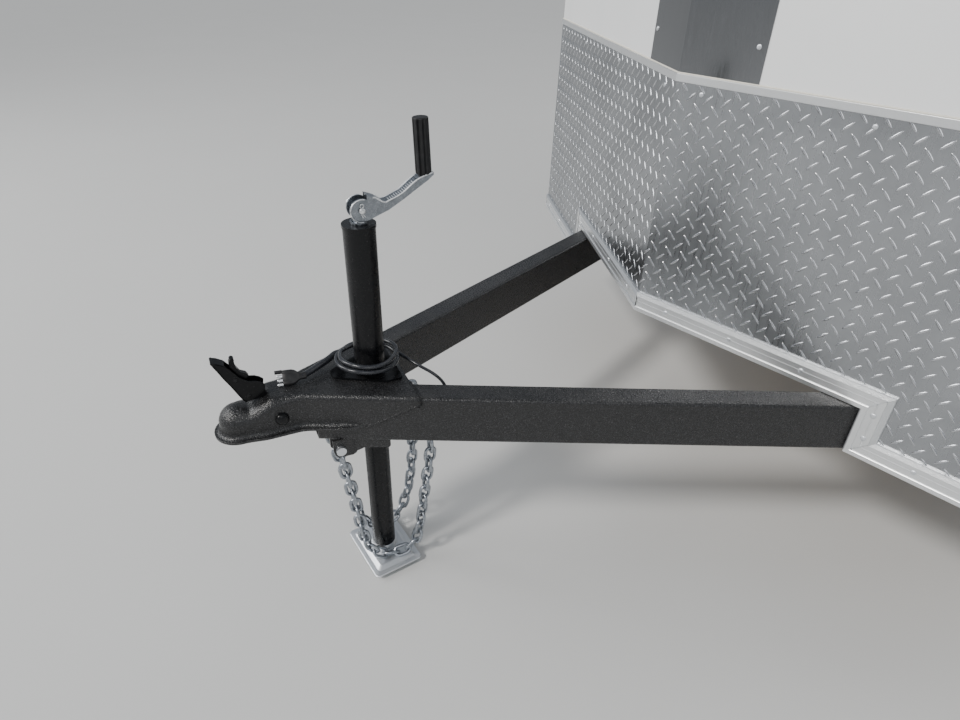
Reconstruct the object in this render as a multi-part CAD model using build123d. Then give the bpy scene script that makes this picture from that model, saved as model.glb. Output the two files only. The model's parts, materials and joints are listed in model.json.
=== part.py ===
from build123d import *
import math
import os

# Enclosed cargo trailer with a V nose, on one axle. Millimetres, +X is the trailer's
# left, +Y its rear, +Z up. Ground is at Z 0 and X 0 is the centreline.

# Lengths along the trailer, from the coupler's tip back
TIP_TO_JACK = 299.0
JACK_TO_NOSE = 634.4
NOSE_DEPTH = 304.8
BOX_LENGTH = 3657.6
REAR_HARDWARE = 50.0

# Body
BODY_WIDTH = 1828.8
INTERIOR_HEIGHT = 1905.0
WALL = 38.0
SKIN = 1.5
DECK = 19.0
ROOF_EDGE = 34.0
ROOF_CROWN = 24.0

# Frame of rectangular tube
FRAME_BOTTOM = 411.3
TUBE_WIDTH = 50.8
TUBE_HEIGHT = 101.6
TUBE_WALL = 3.2
TUBE_CORNER = 6.4
CROSS_WIDTH = 38.1
CROSS_HEIGHT = 76.2
CROSS_PITCH = 406.4
SEAT_GAP = 0.3

# Tongue
TONGUE_HALF_ANGLE = 25.0
MEET_AHEAD = 220.8
BEAM_CUT_AHEAD = 122.0

# Stone guard on the nose
GUARD = 1.6
GUARD_HEIGHT = 606.2

# Jack
JACK_TUBE_RADIUS = 28.6
JACK_BORE_RADIUS = 26.0
JACK_LEG_RADIUS = 25.4
JACK_LEG_WALL = 3.4
JACK_TOP = 811.6
JACK_LEG_INSIDE = 150.0
FOOT_LENGTH = 158.0
FOOT_WIDTH = 116.0
FOOT_THICK = 3.0
FOOT_TURN = 8.0

# Running gear
TYRE_RADIUS = 344.5
TYRE_WIDTH = 205.0
RIM_RADIUS = 190.5
RIM_WIDTH = 140.0
WHEEL_SHARE = 0.585
WHEEL_OUT = 145.6
BOLT_CIRCLE = 114.3
AXLE_DROP = 101.6
AXLE_RADIUS = 30.2
SPINDLE_RADIUS = 17.0
SPRING_WIDTH = 44.5
SPRING_SPAN = 641.0
LEAF = 7.0
FENDER_WIDTH = 260.6
FENDER_RADIUS = 402.0
FENDER_THICK = 2.0

# Rear ramp door and side door
RAMP_THICK = 38.0
RAMP_PIN_OUT = 8.0
DOOR_GAP = 6.0
HEADER = 90.0
POST_DEPTH = 60.0
HINGE_RADIUS = 8.0
HINGE_PIN = 4.0
PIN_CLEARANCE = 0.05
SIDE_DOOR_WIDTH = 813.0
DOOR_HEADROOM = 153.0
SIDE_DOOR_SETBACK = 190.0
SIDE_PIN_OUT = 11.0

# Places worked out from the sizes above
LENGTH = TIP_TO_JACK + JACK_TO_NOSE + NOSE_DEPTH + BOX_LENGTH + REAR_HARDWARE
Y_TIP = -LENGTH / 2
Y_JACK = Y_TIP + TIP_TO_JACK
Y_APEX = Y_JACK + JACK_TO_NOSE
Y_CORNER = Y_APEX + NOSE_DEPTH
Y_REAR = Y_CORNER + BOX_LENGTH
Y_AXLE = Y_CORNER + WHEEL_SHARE * BOX_LENGTH
HALF = BODY_WIDTH / 2
INNER_HALF = HALF - WALL
RAIL_OUTER = HALF - SKIN
RAIL_INNER = RAIL_OUTER - TUBE_WIDTH
TRACK_HALF = HALF + WHEEL_OUT
FENDER_OUTER = HALF + FENDER_WIDTH
FRAME_TOP = FRAME_BOTTOM + TUBE_HEIGHT
FLOOR = FRAME_TOP + DECK
WALL_TOP = FLOOR + INTERIOR_HEIGHT
ROOF_TOP = WALL_TOP + ROOF_EDGE
NOSE_SLOPE = NOSE_DEPTH / HALF
NOSE_COS = math.cos(math.atan(NOSE_SLOPE))
TONGUE_TAN = math.tan(math.radians(TONGUE_HALF_ANGLE))
TONGUE_COS = math.cos(math.radians(TONGUE_HALF_ANGLE))
Y_MEET = Y_JACK - MEET_AHEAD
Y_BEAM_CUT = Y_JACK - BEAM_CUT_AHEAD
TALL = 4 * WALL_TOP


def save(name, *solids):
    """Write one node from its solids."""
    export_step(Compound(children=list(solids)), f"parts/{name}.step")


def block(x0, x1, y0, y1, z0, z1):
    """A box between two corners."""
    return Pos((x0 + x1) / 2, (y0 + y1) / 2, (z0 + z1) / 2) * Box(x1 - x0, y1 - y0, z1 - z0)


def prism(points, z0, z1):
    """A plan outline raised from z0 to z1."""
    return Pos(0, 0, z0) * extrude(make_face(Polyline(*points, close=True)), z1 - z0)


def side_prism(points, x0, x1):
    """An outline in Y and Z carried from x0 to x1."""
    face = make_face(Polyline(*[(0, y, z) for y, z in points], close=True))
    return Pos(x0, 0, 0) * extrude(face, x1 - x0, dir=(1, 0, 0))


def behind_jack(points):
    """An outline measured back from the jack, at its place along the trailer."""
    return [(Y_JACK + y, z) for y, z in points]


def rod(start, end, radius):
    """A round bar between two points."""
    run = Vector(*end) - Vector(*start)
    plane = Plane(origin=start, z_dir=run)
    return extrude(plane * Circle(radius), run.length)


def mirror_x(solid):
    """The same piece on the other side of the centreline."""
    return mirror(solid, about=Plane.YZ)


def one(shape):
    """The single solid of a shape."""
    return shape.solids()[0]


def body_plan(inset, y_back=Y_REAR):
    """Outline of the V-nosed body seen from above, moved in by inset on every side."""
    half = HALF - inset
    apex = Y_APEX + inset / NOSE_COS
    corner = apex + half * NOSE_SLOPE
    return [(0, apex), (half, corner), (half, y_back), (-half, y_back), (-half, corner)]


def nose_band(outside, inside, z0, z1):
    """The left half of a band on the V nose."""
    ring = prism(body_plan(outside), z0, z1) - prism(body_plan(inside), z0 - 1, z1 + 1)
    return ring & block(0, TALL, Y_TIP, Y_CORNER, z0, z1)


def tongue_wedge(spread, z0, z1):
    """The space between the tongue beams' outer faces, widened by spread across the trailer."""
    reach = TALL * TONGUE_TAN + spread
    points = [(0, Y_MEET - spread / TONGUE_TAN), (reach, Y_MEET + TALL), (-reach, Y_MEET + TALL)]
    return prism(points, z0, z1)


def tube(start, end, width, height, wall, corner):
    """A hollow rectangular bar with rounded corners, level, from start to end."""
    run = Vector(*end) - Vector(*start)
    plane = Plane(origin=start, x_dir=run.cross(Vector(0, 0, 1)), z_dir=run)
    skin = RectangleRounded(width, height, corner)
    bore = RectangleRounded(width - 2 * wall, height - 2 * wall, corner - wall)
    return extrude(plane * (skin - bore), run.length)


# Frame

def frame_tube(start, end):
    """A length of the main frame's tube."""
    return tube(start, end, TUBE_WIDTH, TUBE_HEIGHT, TUBE_WALL, TUBE_CORNER)


def tongue_beam():
    """The left beam of the A-shaped tongue, mitred on the centreline and cut at the rail."""
    middle = FRAME_BOTTOM + TUBE_HEIGHT / 2
    turn = math.radians(TONGUE_HALF_ANGLE)
    side = Vector(math.cos(turn), -math.sin(turn), 0) * (-TUBE_WIDTH / 2)
    start = Vector(0, Y_MEET, middle) + side
    reach = RAIL_INNER / math.sin(turn) + TUBE_HEIGHT * 2
    end = start + Vector(math.sin(turn), math.cos(turn), 0) * reach
    beam = frame_tube(tuple(start), tuple(end))
    return beam & block(0, RAIL_INNER, Y_BEAM_CUT, Y_REAR, 0, TALL)


def beam_envelope():
    """The space that both tongue beams take up, without their bores."""
    outer = tongue_wedge(0, FRAME_BOTTOM - 1, FRAME_TOP + 1)
    inner_start = Y_MEET + TUBE_WIDTH / TONGUE_COS / TONGUE_TAN
    reach = TALL * TONGUE_TAN
    points = [(0, inner_start), (reach, inner_start + TALL), (-reach, inner_start + TALL)]
    return outer - prism(points, FRAME_BOTTOM - 2, FRAME_TOP + 2)


def side_rail():
    """The left main rail under the side wall."""
    x = RAIL_OUTER - TUBE_WIDTH / 2
    z = FRAME_BOTTOM + TUBE_HEIGHT / 2
    return frame_tube((x, Y_CORNER, z), (x, Y_REAR - POST_DEPTH, z))


def nose_rail():
    """The left V rail, from the tongue beam's outer face to the body's corner."""
    rail = nose_band(0, TUBE_WIDTH, FRAME_BOTTOM, FRAME_TOP)
    bore = nose_band(TUBE_WALL, TUBE_WIDTH - TUBE_WALL, FRAME_BOTTOM + TUBE_WALL, FRAME_TOP - TUBE_WALL)
    return rail - bore - tongue_wedge(0, 0, TALL)


def crossmembers():
    """Floor bearers between the rails, cut where the tongue beams pass."""
    z = FRAME_TOP - CROSS_HEIGHT / 2
    beams = beam_envelope()
    sill_front = Y_REAR - SILL_SET - TUBE_WIDTH
    count = int((sill_front - Y_CORNER) / CROSS_PITCH)
    pieces = []
    for index in range(count):
        y = Y_CORNER + CROSS_WIDTH / 2 + index * CROSS_PITCH
        bar = tube((-RAIL_INNER, y, z), (RAIL_INNER, y, z), CROSS_WIDTH, CROSS_HEIGHT, TUBE_WALL,
                   TUBE_CORNER)
        pieces += (bar - beams).solids()
    return pieces


# The ramp door turns about a pin behind its face, so that its inside lies level with the
# floor when it is down. The sill stands clear of the circle that its lower edge sweeps.
Y_PIN = Y_REAR + RAMP_PIN_OUT
Z_PIN = FLOOR - RAMP_THICK - RAMP_PIN_OUT
RAMP_BOTTOM = Z_PIN + 4.0
RAMP_TOP = WALL_TOP - HEADER - DOOR_GAP
SILL_SET = RAMP_THICK + DOOR_GAP
SILL_LOW_TOP = Z_PIN - 15.0
RAMP_HINGES = [-780.0, -390.0, 0.0, 390.0, 780.0]
HINGE_KNUCKLE = 24.0
HINGE_PLAY = 0.5


def rear_sill():
    """The rear cross tube and the lower tube that carries the ramp's hinges."""
    z = FRAME_BOTTOM + TUBE_HEIGHT / 2
    y = Y_REAR - SILL_SET - TUBE_WIDTH / 2
    main = frame_tube((-RAIL_INNER, y, z), (RAIL_INNER, y, z))
    low = block(-RAIL_INNER, RAIL_INNER, Y_REAR - SILL_SET, Y_REAR, FRAME_BOTTOM, SILL_LOW_TOP)
    low -= block(-TALL, TALL, Y_REAR - SILL_SET + TUBE_WALL, Y_REAR - TUBE_WALL,
                 FRAME_BOTTOM + TUBE_WALL, SILL_LOW_TOP - TUBE_WALL)
    return main + low


# Body

SIDE_DOOR_FRONT = Y_CORNER + SIDE_DOOR_SETBACK
SIDE_DOOR_BACK = SIDE_DOOR_FRONT + SIDE_DOOR_WIDTH
SIDE_DOOR_BOTTOM = FLOOR + 12.0
SIDE_DOOR_TOP = WALL_TOP - DOOR_HEADROOM
JAMB = 8.0
JAMB_FLANGE = 26.0
JAMB_FLANGE_THICK = 3.0


def side_wall():
    """The left wall as thick as the whole wall, with its skin down over the rail."""
    back = Y_REAR - POST_DEPTH
    inside = Y_APEX + WALL / NOSE_COS
    plan = [(HALF, Y_CORNER), (HALF, back), (INNER_HALF, back),
            (INNER_HALF, inside + INNER_HALF * NOSE_SLOPE), ((Y_CORNER - inside) / NOSE_SLOPE, Y_CORNER)]
    skirt = block(RAIL_OUTER, HALF, Y_CORNER, back, FRAME_BOTTOM, FRAME_TOP)
    return prism(plan, FRAME_TOP, WALL_TOP) + skirt


def side_doorway(grow):
    """The side doorway's space, on the right, grown on its four edges."""
    return block(-HALF - WALL, -INNER_HALF + WALL, SIDE_DOOR_FRONT - grow, SIDE_DOOR_BACK + grow,
                 SIDE_DOOR_BOTTOM - grow, SIDE_DOOR_TOP + grow)


def side_door_frame():
    """Lining and outside flange round the side doorway."""
    outside = -HALF - JAMB_FLANGE_THICK
    frame = side_doorway(DOOR_GAP + JAMB) & block(outside, -INNER_HALF, Y_TIP, Y_REAR, 0, TALL)
    flange = side_doorway(DOOR_GAP + JAMB_FLANGE)
    frame += flange & block(outside, -HALF, Y_TIP, Y_REAR, 0, TALL)
    return frame - side_doorway(DOOR_GAP)


def nose_wall():
    """The left panel of the V nose."""
    return nose_band(0, WALL, FRAME_TOP, WALL_TOP)


def deck():
    """The plywood floor, let in between the walls and the rear posts."""
    board = prism(body_plan(WALL, Y_REAR - SILL_SET), FRAME_TOP, FLOOR)
    return board - rear_post() - mirror_x(rear_post())


def rear_post():
    """The left rear corner post."""
    return block(RAIL_INNER, HALF, Y_REAR - POST_DEPTH, Y_REAR, FRAME_BOTTOM, WALL_TOP)


def rear_frame():
    """Both rear posts and the header over the ramp door."""
    header = block(-RAIL_INNER, RAIL_INNER, Y_REAR - POST_DEPTH, Y_REAR, WALL_TOP - HEADER, WALL_TOP)
    return rear_post() + mirror_x(rear_post()) + header


def roof():
    """The bowed roof, following the V nose."""
    edge = Polyline((-HALF, 0, ROOF_TOP), (-HALF, 0, WALL_TOP), (HALF, 0, WALL_TOP), (HALF, 0, ROOF_TOP))
    crown = ThreePointArc((HALF, 0, ROOF_TOP), (0, 0, ROOF_TOP + ROOF_CROWN), (-HALF, 0, ROOF_TOP))
    section = make_face(Wire(edge.edges() + crown.edges()))
    slab = Pos(0, Y_APEX, 0) * extrude(section, Y_REAR - Y_APEX, dir=(0, 1, 0))
    return slab & prism(body_plan(0), 0, TALL)


ROOF_RAIL = 3.0
ROOF_RAIL_DROP = 26.0


def roof_rail():
    """The edge moulding round the roof."""
    z0 = WALL_TOP - ROOF_RAIL_DROP
    outer = prism(body_plan(-ROOF_RAIL, Y_REAR + ROOF_RAIL), z0, ROOF_TOP)
    return outer - prism(body_plan(0), z0 - 1, TALL)


# Stone guard and its mouldings

GUARD_TOP = FRAME_BOTTOM + GUARD_HEIGHT
TRIM_OUT = 6.0
TRIM_HEIGHT = 47.0
CAP_OUT = 3.0
CAP_HEIGHT = 14.0
STRIP = 1.2
STRIP_HALF = 150.0


def stone_guard():
    """The left half of the aluminium guard, notched over the tongue beam."""
    plate = nose_band(-GUARD, 0, FRAME_BOTTOM, GUARD_TOP)
    return plate - tongue_wedge(0, FRAME_BOTTOM - 1, FRAME_TOP)


def guard_trim():
    """The left lower moulding, stepped up over the tongue beam."""
    low = nose_band(-GUARD - TRIM_OUT, -GUARD, FRAME_BOTTOM, FRAME_BOTTOM + TRIM_HEIGHT)
    high = nose_band(-GUARD - TRIM_OUT, -GUARD, FRAME_TOP, FRAME_TOP + TRIM_HEIGHT)
    step = nose_band(-GUARD - TRIM_OUT, -GUARD, FRAME_BOTTOM, FRAME_TOP + TRIM_HEIGHT)
    wide = tongue_wedge(TRIM_HEIGHT, 0, TALL)
    return (low - wide) + (high & wide) + ((step & wide) - tongue_wedge(0, 0, FRAME_TOP))


def guard_cap():
    """The left half of the moulding along the guard's top edge."""
    return nose_band(-GUARD - CAP_OUT, -GUARD, GUARD_TOP - CAP_HEIGHT, GUARD_TOP)


def nose_strip():
    """The bright strip that wraps the nose above the guard."""
    half = nose_band(-STRIP, 0, GUARD_TOP, WALL_TOP - ROOF_RAIL_DROP)
    half &= block(0, STRIP_HALF, Y_TIP, Y_REAR, 0, TALL)
    return half + mirror_x(half)


# Coupler

COUPLER_PLATE = 5.0
COUPLER_TOP = FRAME_TOP + COUPLER_PLATE
NOSE_HALF = 40.0
BALL_AHEAD = 254.0
DOME_RADIUS = 34.0
DOME_CENTRE = FRAME_TOP - 44.9
COUPLER_LIP = TIP_TO_JACK - BALL_AHEAD - DOME_RADIUS
RIM = 450.0
COUPLER_BACK = 54.0
NOSE_FULL_AHEAD = 205.0
SHOULDER_LAP = 20.0
SHOULDER_AHEAD = 188.0
SHOULDER_DROP = 26.0
SHOULDER_RUN = 44.0
COUPLER_ROUND = 8.0
Y_BALL = Y_JACK - BALL_AHEAD

# Pin of the ball clamp: ahead of the jack, height
CLAMP_PIN = (181.0, 477.0)
CLAMP_PIN_RADIUS = 6.0
CLAMP_HALF = 14.0

# Lower edge of the coupler's side: distance behind the jack, height
SKIRT_EDGE = [(-330.0, 450.0), (-150.0, 450.0), (-50.0, 453.0), (-27.0, 457.0), (46.0, 501.0),
              (80.0, 508.0)]


def coupler_plan(grow, back):
    """Outline of the coupler's channel from above, grown on its sides."""
    spread = (COUPLER_PLATE + grow) / TONGUE_COS
    end = Y_JACK + back
    half_end = (end - Y_MEET) * TONGUE_TAN + spread
    bend = Y_MEET + (NOSE_HALF + grow - spread) / TONGUE_TAN
    right = [(DOME_RADIUS + grow, Y_BALL), (NOSE_HALF + grow, Y_JACK - NOSE_FULL_AHEAD),
             (NOSE_HALF + grow, bend), (half_end, end)]
    return right + [(-x, y) for x, y in reversed(right)]


def shoulder_cut(drop):
    """What the slope behind the dome takes off the channel's top, lowered by drop."""
    y = Y_JACK - SHOULDER_AHEAD
    z = COUPLER_TOP - drop
    fall = SHOULDER_DROP / SHOULDER_RUN
    far = 2 * SHOULDER_RUN
    back = y + SHOULDER_LAP
    line = [(back, z + SHOULDER_LAP * fall), (y - far, z - far * fall), (y - far, TALL), (back, TALL)]
    return side_prism(line, -NOSE_HALF * 2, NOSE_HALF * 2)


def below_skirt(lift):
    """The space under the coupler's lower edge, raised by lift."""
    line = [(y, z + lift) for y, z in behind_jack(SKIRT_EDGE)]
    return side_prism([(line[0][0], 0)] + line + [(line[-1][0], 0)], -HALF, HALF)


def coupler():
    """The pressed coupler: ball dome, channel, skirts along the beams and an outward lip."""
    channel = prism(coupler_plan(0, COUPLER_BACK), RIM, COUPLER_TOP)
    edges = channel.faces().sort_by(Axis.Z)[-1].edges()
    edges = [edge for edge in edges if abs(edge.center().Y - Y_JACK - COUPLER_BACK) > 1]
    channel = fillet(edges, COUPLER_ROUND) - shoulder_cut(0)
    dome = Pos(0, Y_BALL, DOME_CENTRE) * Sphere(DOME_RADIUS)
    dome += rod((0, Y_BALL, RIM), (0, Y_BALL, DOME_CENTRE), DOME_RADIUS)
    dome -= block(-HALF, HALF, Y_TIP - HALF, Y_REAR, 0, RIM)
    lip = prism(coupler_plan(COUPLER_LIP, -50.0), RIM, COUPLER_TOP)
    lip += rod((0, Y_BALL, RIM), (0, Y_BALL, COUPLER_TOP), DOME_RADIUS + COUPLER_LIP)
    lip &= below_skirt(COUPLER_PLATE)
    shell = channel + dome + lip
    cavity = prism(coupler_plan(-COUPLER_PLATE, COUPLER_BACK + 10.0), 0, FRAME_TOP)
    cavity -= shoulder_cut(COUPLER_PLATE)
    socket = Pos(0, Y_BALL, DOME_CENTRE) * Sphere(DOME_RADIUS - COUPLER_PLATE)
    socket += rod((0, Y_BALL, 0), (0, Y_BALL, DOME_CENTRE), DOME_RADIUS - COUPLER_PLATE)
    shell = shell - cavity - socket - below_skirt(0)
    shell -= rod((0, Y_JACK, 0), (0, Y_JACK, TALL), JACK_TUBE_RADIUS + SEAT_GAP)
    pin_y, pin_z = Y_JACK - CLAMP_PIN[0], CLAMP_PIN[1]
    return one(shell - rod((-HALF, pin_y, pin_z), (HALF, pin_y, pin_z), CLAMP_PIN_RADIUS + PIN_CLEARANCE))


def ball_clamp():
    """The rocking clamp under the ball and the rivet that it turns on."""
    y = Y_JACK - CLAMP_PIN[0]
    z = CLAMP_PIN[1]
    line = [(y - 42, z - 21), (y - 34, z - 24), (y + 10, z - 12), (y + 12, z + 8), (y - 8, z + 10),
            (y - 38, z - 8)]
    clamp = side_prism(line, -CLAMP_HALF, CLAMP_HALF)
    pin = rod((-NOSE_HALF, y, z), (NOSE_HALF, y, z), CLAMP_PIN_RADIUS)
    heads = rod((NOSE_HALF, y, z), (NOSE_HALF + 5.0, y, z), 9.0)
    return clamp + pin + heads + mirror_x(heads)


LATCH_HALF = 11.0
LATCH_CATCH_HALF = 8.0
LATCH_SHEET = 3.0
TRIGGER_HALF = 5.0
LATCH_HOLE = 4.0
LATCH_RIVET = 2.5

# The latch's hole and the trigger's rivet: behind the jack, height
LATCH_HOLE_PLACE = (-215.0, 536.0)
LATCH_RIVET_PLACE = (-229.0, 568.0)

# Side outline of the latch lever: behind the jack, height
LATCH_LEVER = [(-241, 522), (-277, 600), (-280, 610), (-277, 617), (-271, 620), (-264, 615), (-249, 601),
               (-231, 579), (-223, 566), (-210, 557), (-197, 541), (-197, 531), (-233, 512)]

# Side outline of the trigger that locks the lever
LATCH_TRIGGER = [(-250, 600), (-249, 609), (-244, 612), (-239, 609), (-241, 600), (-231, 580), (-223, 575),
                 (-222, 564), (-232, 560), (-242, 580)]

# Side outlines of the lever's open slot and of its foot on the dome
LATCH_SLOT = [(-272, 630), (-226, 545), (-180, 545), (-180, 630)]
LATCH_FOOT = [(-233, 508), (-197, 531), (-192, 514), (-226, 490)]


def latch():
    """The latch lever standing open on the dome, its trigger and its catch plate."""
    lever = side_prism(behind_jack(LATCH_LEVER), -LATCH_HALF, LATCH_HALF)
    slot = side_prism(behind_jack(LATCH_SLOT), LATCH_SHEET - LATCH_HALF, LATCH_HALF - LATCH_SHEET)
    trigger = side_prism(behind_jack(LATCH_TRIGGER), -TRIGGER_HALF, TRIGGER_HALF)
    foot = side_prism(behind_jack(LATCH_FOOT), -LATCH_CATCH_HALF, LATCH_CATCH_HALF)
    rivet_y, rivet_z = Y_JACK + LATCH_RIVET_PLACE[0], LATCH_RIVET_PLACE[1]
    rivet = rod((-LATCH_HALF, rivet_y, rivet_z), (LATCH_HALF, rivet_y, rivet_z), LATCH_RIVET)
    hole_y, hole_z = Y_JACK + LATCH_HOLE_PLACE[0], LATCH_HOLE_PLACE[1]
    hole = rod((-HALF, hole_y, hole_z), (HALF, hole_y, hole_z), LATCH_HOLE)
    return (lever - slot) + trigger + foot + rivet - coupler() - hole


# Jack

JACK_TUBE_BOTTOM = FRAME_BOTTOM - 18.0
JACK_CAP = 5.0
FLANGE_THICK = 5.0
FOOT_SKIRT = 11.0
FOOT_STEP = 20.0
FOOT_RIM = 11.0
FOOT_SLOPE = 45.0
BRACKET_THICK = 6.0

# Corners of the jack's flange, beside and behind the jack
FLANGE = [(12, -76), (62, 14), (62, 46), (-62, 46), (-62, 14), (-12, -76)]


def jack_tube():
    """The jack's outer tube with its cap and the flange that sits on the coupler."""
    body = rod((0, Y_JACK, JACK_TUBE_BOTTOM), (0, Y_JACK, JACK_TOP), JACK_TUBE_RADIUS)
    flange = prism([(x, Y_JACK + y) for x, y in FLANGE], COUPLER_TOP, COUPLER_TOP + FLANGE_THICK)
    flange = fillet(flange.edges().filter_by(Axis.Z), 8.0)
    cap = rod((0, Y_JACK, JACK_TOP - 6.0), (0, Y_JACK, JACK_TOP), JACK_TUBE_RADIUS + 1.2)
    return body + flange + cap - rod((0, Y_JACK, 0), (0, Y_JACK, JACK_TOP - JACK_CAP), JACK_BORE_RADIUS)


def jack_leg():
    """The inner tube that the crank lowers."""
    top = JACK_TUBE_BOTTOM + JACK_LEG_INSIDE
    leg = rod((0, Y_JACK, FOOT_STEP), (0, Y_JACK, top), JACK_LEG_RADIUS)
    return leg - rod((0, Y_JACK, FOOT_STEP + 1), (0, Y_JACK, top + 1), JACK_LEG_RADIUS - JACK_LEG_WALL)


def jack_foot():
    """The pressed foot: a skirt turned down to the ground, a rim and a raised middle."""
    plate = extrude(RectangleRounded(FOOT_LENGTH, FOOT_WIDTH, 9.0), FOOT_SKIRT)
    inside = RectangleRounded(FOOT_LENGTH - 2 * FOOT_THICK, FOOT_WIDTH - 2 * FOOT_THICK, 6.0)
    plate = chamfer(plate.faces().sort_by(Axis.Z)[-1].edges(), 2.0)
    middle = RectangleRounded(FOOT_LENGTH - 2 * FOOT_RIM, FOOT_WIDTH - 2 * FOOT_RIM, 7.0)
    rise = FOOT_STEP - FOOT_SKIRT
    step = Pos(0, 0, FOOT_SKIRT) * extrude(middle, rise, taper=FOOT_SLOPE)
    foot = plate + step - extrude(inside, FOOT_SKIRT - FOOT_THICK)
    return Pos(0, Y_JACK, 0) * Rot(0, 0, FOOT_TURN) * foot


CRANK_HALF = 12.0
CRANK_SHEET = 2.5
CRANK_EAR = 20.0
CRANK_PIVOT = 836.5
CRANK_BACK = 4.0
CRANK_OPEN = 15.0
CRANK_RECESS = 3.0
CRANK_PIN = 4.0
STUB_RADIUS = 12.0

# Upper edge of the crank arm: behind the jack, height
CRANK_TOP_EDGE = [(14, 861), (30, 855), (43, 846), (52, 848), (76, 858), (110, 882), (133, 887)]
# Lower edge, read back
CRANK_LOW_EDGE = [(133, 883), (123, 875), (100, 861), (76, 846), (51, 832), (14, 818)]

# Floor of the recess pressed into the arm, from the bend to the grip
CRANK_FLOOR = [(50, 844), (76, 855), (104, 874)]

GRIP_LENGTH = 92.0
GRIP_RADIUS = 14.0
GRIP_BASE = (119.0, 884.2)
GRIP_LEAN = 2.5
GRIP_RIVET = 5.0
GRIP_RIVET_LENGTH = 30.0


def grip_place():
    """The foot of the grip on the crank's end, leaning a little forward."""
    return Pos(0, Y_JACK + GRIP_BASE[0], GRIP_BASE[1]) * Rot(GRIP_LEAN, 0, 0)


def jack_crank():
    """The folding crank: two ears on the screw's stub and a channel arm."""
    arm = side_prism(behind_jack(CRANK_TOP_EDGE + CRANK_LOW_EDGE), -CRANK_HALF, CRANK_HALF)
    pivot_y = Y_JACK + CRANK_BACK
    arm += rod((-CRANK_HALF, pivot_y, CRANK_PIVOT), (CRANK_HALF, pivot_y, CRANK_PIVOT), CRANK_EAR)
    inside = CRANK_HALF - CRANK_SHEET
    arm -= block(-inside, inside, Y_JACK - 60.0, Y_JACK + CRANK_OPEN, 0, TALL)
    floor = behind_jack(CRANK_FLOOR)
    recess = floor + [(floor[-1][0], TALL), (floor[0][0], TALL)]
    arm -= side_prism(recess, CRANK_RECESS - CRANK_HALF, CRANK_HALF - CRANK_RECESS)
    arm -= grip_place() * extrude(Circle(GRIP_RADIUS + SEAT_GAP), GRIP_LENGTH)
    stub = rod((0, Y_JACK, JACK_TOP), (0, Y_JACK, CRANK_PIVOT + 12.0), STUB_RADIUS - 3.2)
    collar = rod((0, Y_JACK, JACK_TOP), (0, Y_JACK, JACK_TOP + 5.0), STUB_RADIUS + 3.0)
    reach = CRANK_HALF + CRANK_PIN
    pin = rod((-reach, pivot_y, CRANK_PIVOT), (reach, pivot_y, CRANK_PIVOT), CRANK_PIN)
    rivet = grip_place() * Pos(0, 0, -8.0) * extrude(Circle(GRIP_RIVET), GRIP_RIVET_LENGTH + 8.0)
    return arm + stub + collar + pin + rivet


def jack_grip():
    """The fluted grip, turning on the crank's rivet."""
    grip = extrude(Circle(GRIP_RADIUS), GRIP_LENGTH)
    grip = fillet(grip.faces().sort_by(Axis.Z)[-1].edges(), 1.8)
    for index in range(8):
        turn = Rot(0, 0, 45.0 * index)
        grip -= turn * Pos(GRIP_RADIUS + 1.2, 0, 0) * extrude(Circle(3.0), GRIP_LENGTH)
    grip -= extrude(Circle(GRIP_RIVET + PIN_CLEARANCE), GRIP_RIVET_LENGTH + SEAT_GAP)
    return grip_place() * grip


# Jack support plate with the ears that hold the chain bolt
PLATE_BACK = 96.0
CHAIN_BOLT = (87.5, 390.0)
CHAIN_BOLT_RADIUS = 5.0
EAR_X = 34.0
EAR_THICK = 8.0
CHAIN_X = 57.0


def chain_bracket():
    """The plate under the beams' meeting, with two ears hanging from it."""
    z0, z1 = FRAME_BOTTOM - BRACKET_THICK, FRAME_BOTTOM
    right = [(48, -100), (92, 10), (92, PLATE_BACK)]
    outline = right + [(-x, y) for x, y in reversed(right)]
    plate = prism([(x, Y_JACK + y) for x, y in outline], z0, z1)
    y = Y_JACK - CHAIN_BOLT[0]
    z = CHAIN_BOLT[1]
    ear = side_prism([(y - 14, z1), (y - 14, z - 8), (y - 8, z - 14), (y + 8, z - 14), (y + 40, z0)],
                     EAR_X, EAR_X + EAR_THICK)
    hole = rod((0, Y_JACK, 0), (0, Y_JACK, TALL), JACK_TUBE_RADIUS + SEAT_GAP)
    bore = rod((-HALF, y, z), (HALF, y, z), CHAIN_BOLT_RADIUS + PIN_CLEARANCE)
    return plate + ear + mirror_x(ear) - hole - bore


def chain_bolt():
    """The bolt across both ears, with its head and nut outside the chains."""
    y = Y_JACK - CHAIN_BOLT[0]
    z = CHAIN_BOLT[1]
    reach = CHAIN_X + 9.0
    bolt = rod((-reach, y, z), (reach, y, z), CHAIN_BOLT_RADIUS)
    head = rod((reach, y, z), (reach + 7.0, y, z), 9.5)
    return bolt + head + mirror_x(head)


# Safety chains. Each hangs from the bolt, passes the jack's foot and comes back up to a
# hook on the rear edge of the support plate.

LINK_WIRE = 8.2
LINK_LENGTH = 44.0
LINK_WIDTH = 28.6
LINK_CORNER = 6.5
LINK_PLAY = 0.6
LINK_PITCH = LINK_LENGTH - 2 * LINK_WIRE - LINK_PLAY
HOOK_SET = 3.0

LINK_TWIST = 5.0
LINK_LEAN = 45.0
FOOT_LINK = 14

# Course of the left chain after the bolt: beside the centreline, behind the jack, height
LEFT_CHAIN = [(57, -82, 330), (55, -75, 280), (52, -68, 225), (48, -62, 170), (44, -57, 120),
              (42, -50, 83), (42, -37, 54), (43, -16, 36), (46, 8, 30.6), (48, 32, 30.6), (49, 52, 39),
              (49, 64, 59), (49, 71, 87), (51, 79, 150), (54, 88, 230), (57, 99, 310), (57, 99, 366)]

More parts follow.
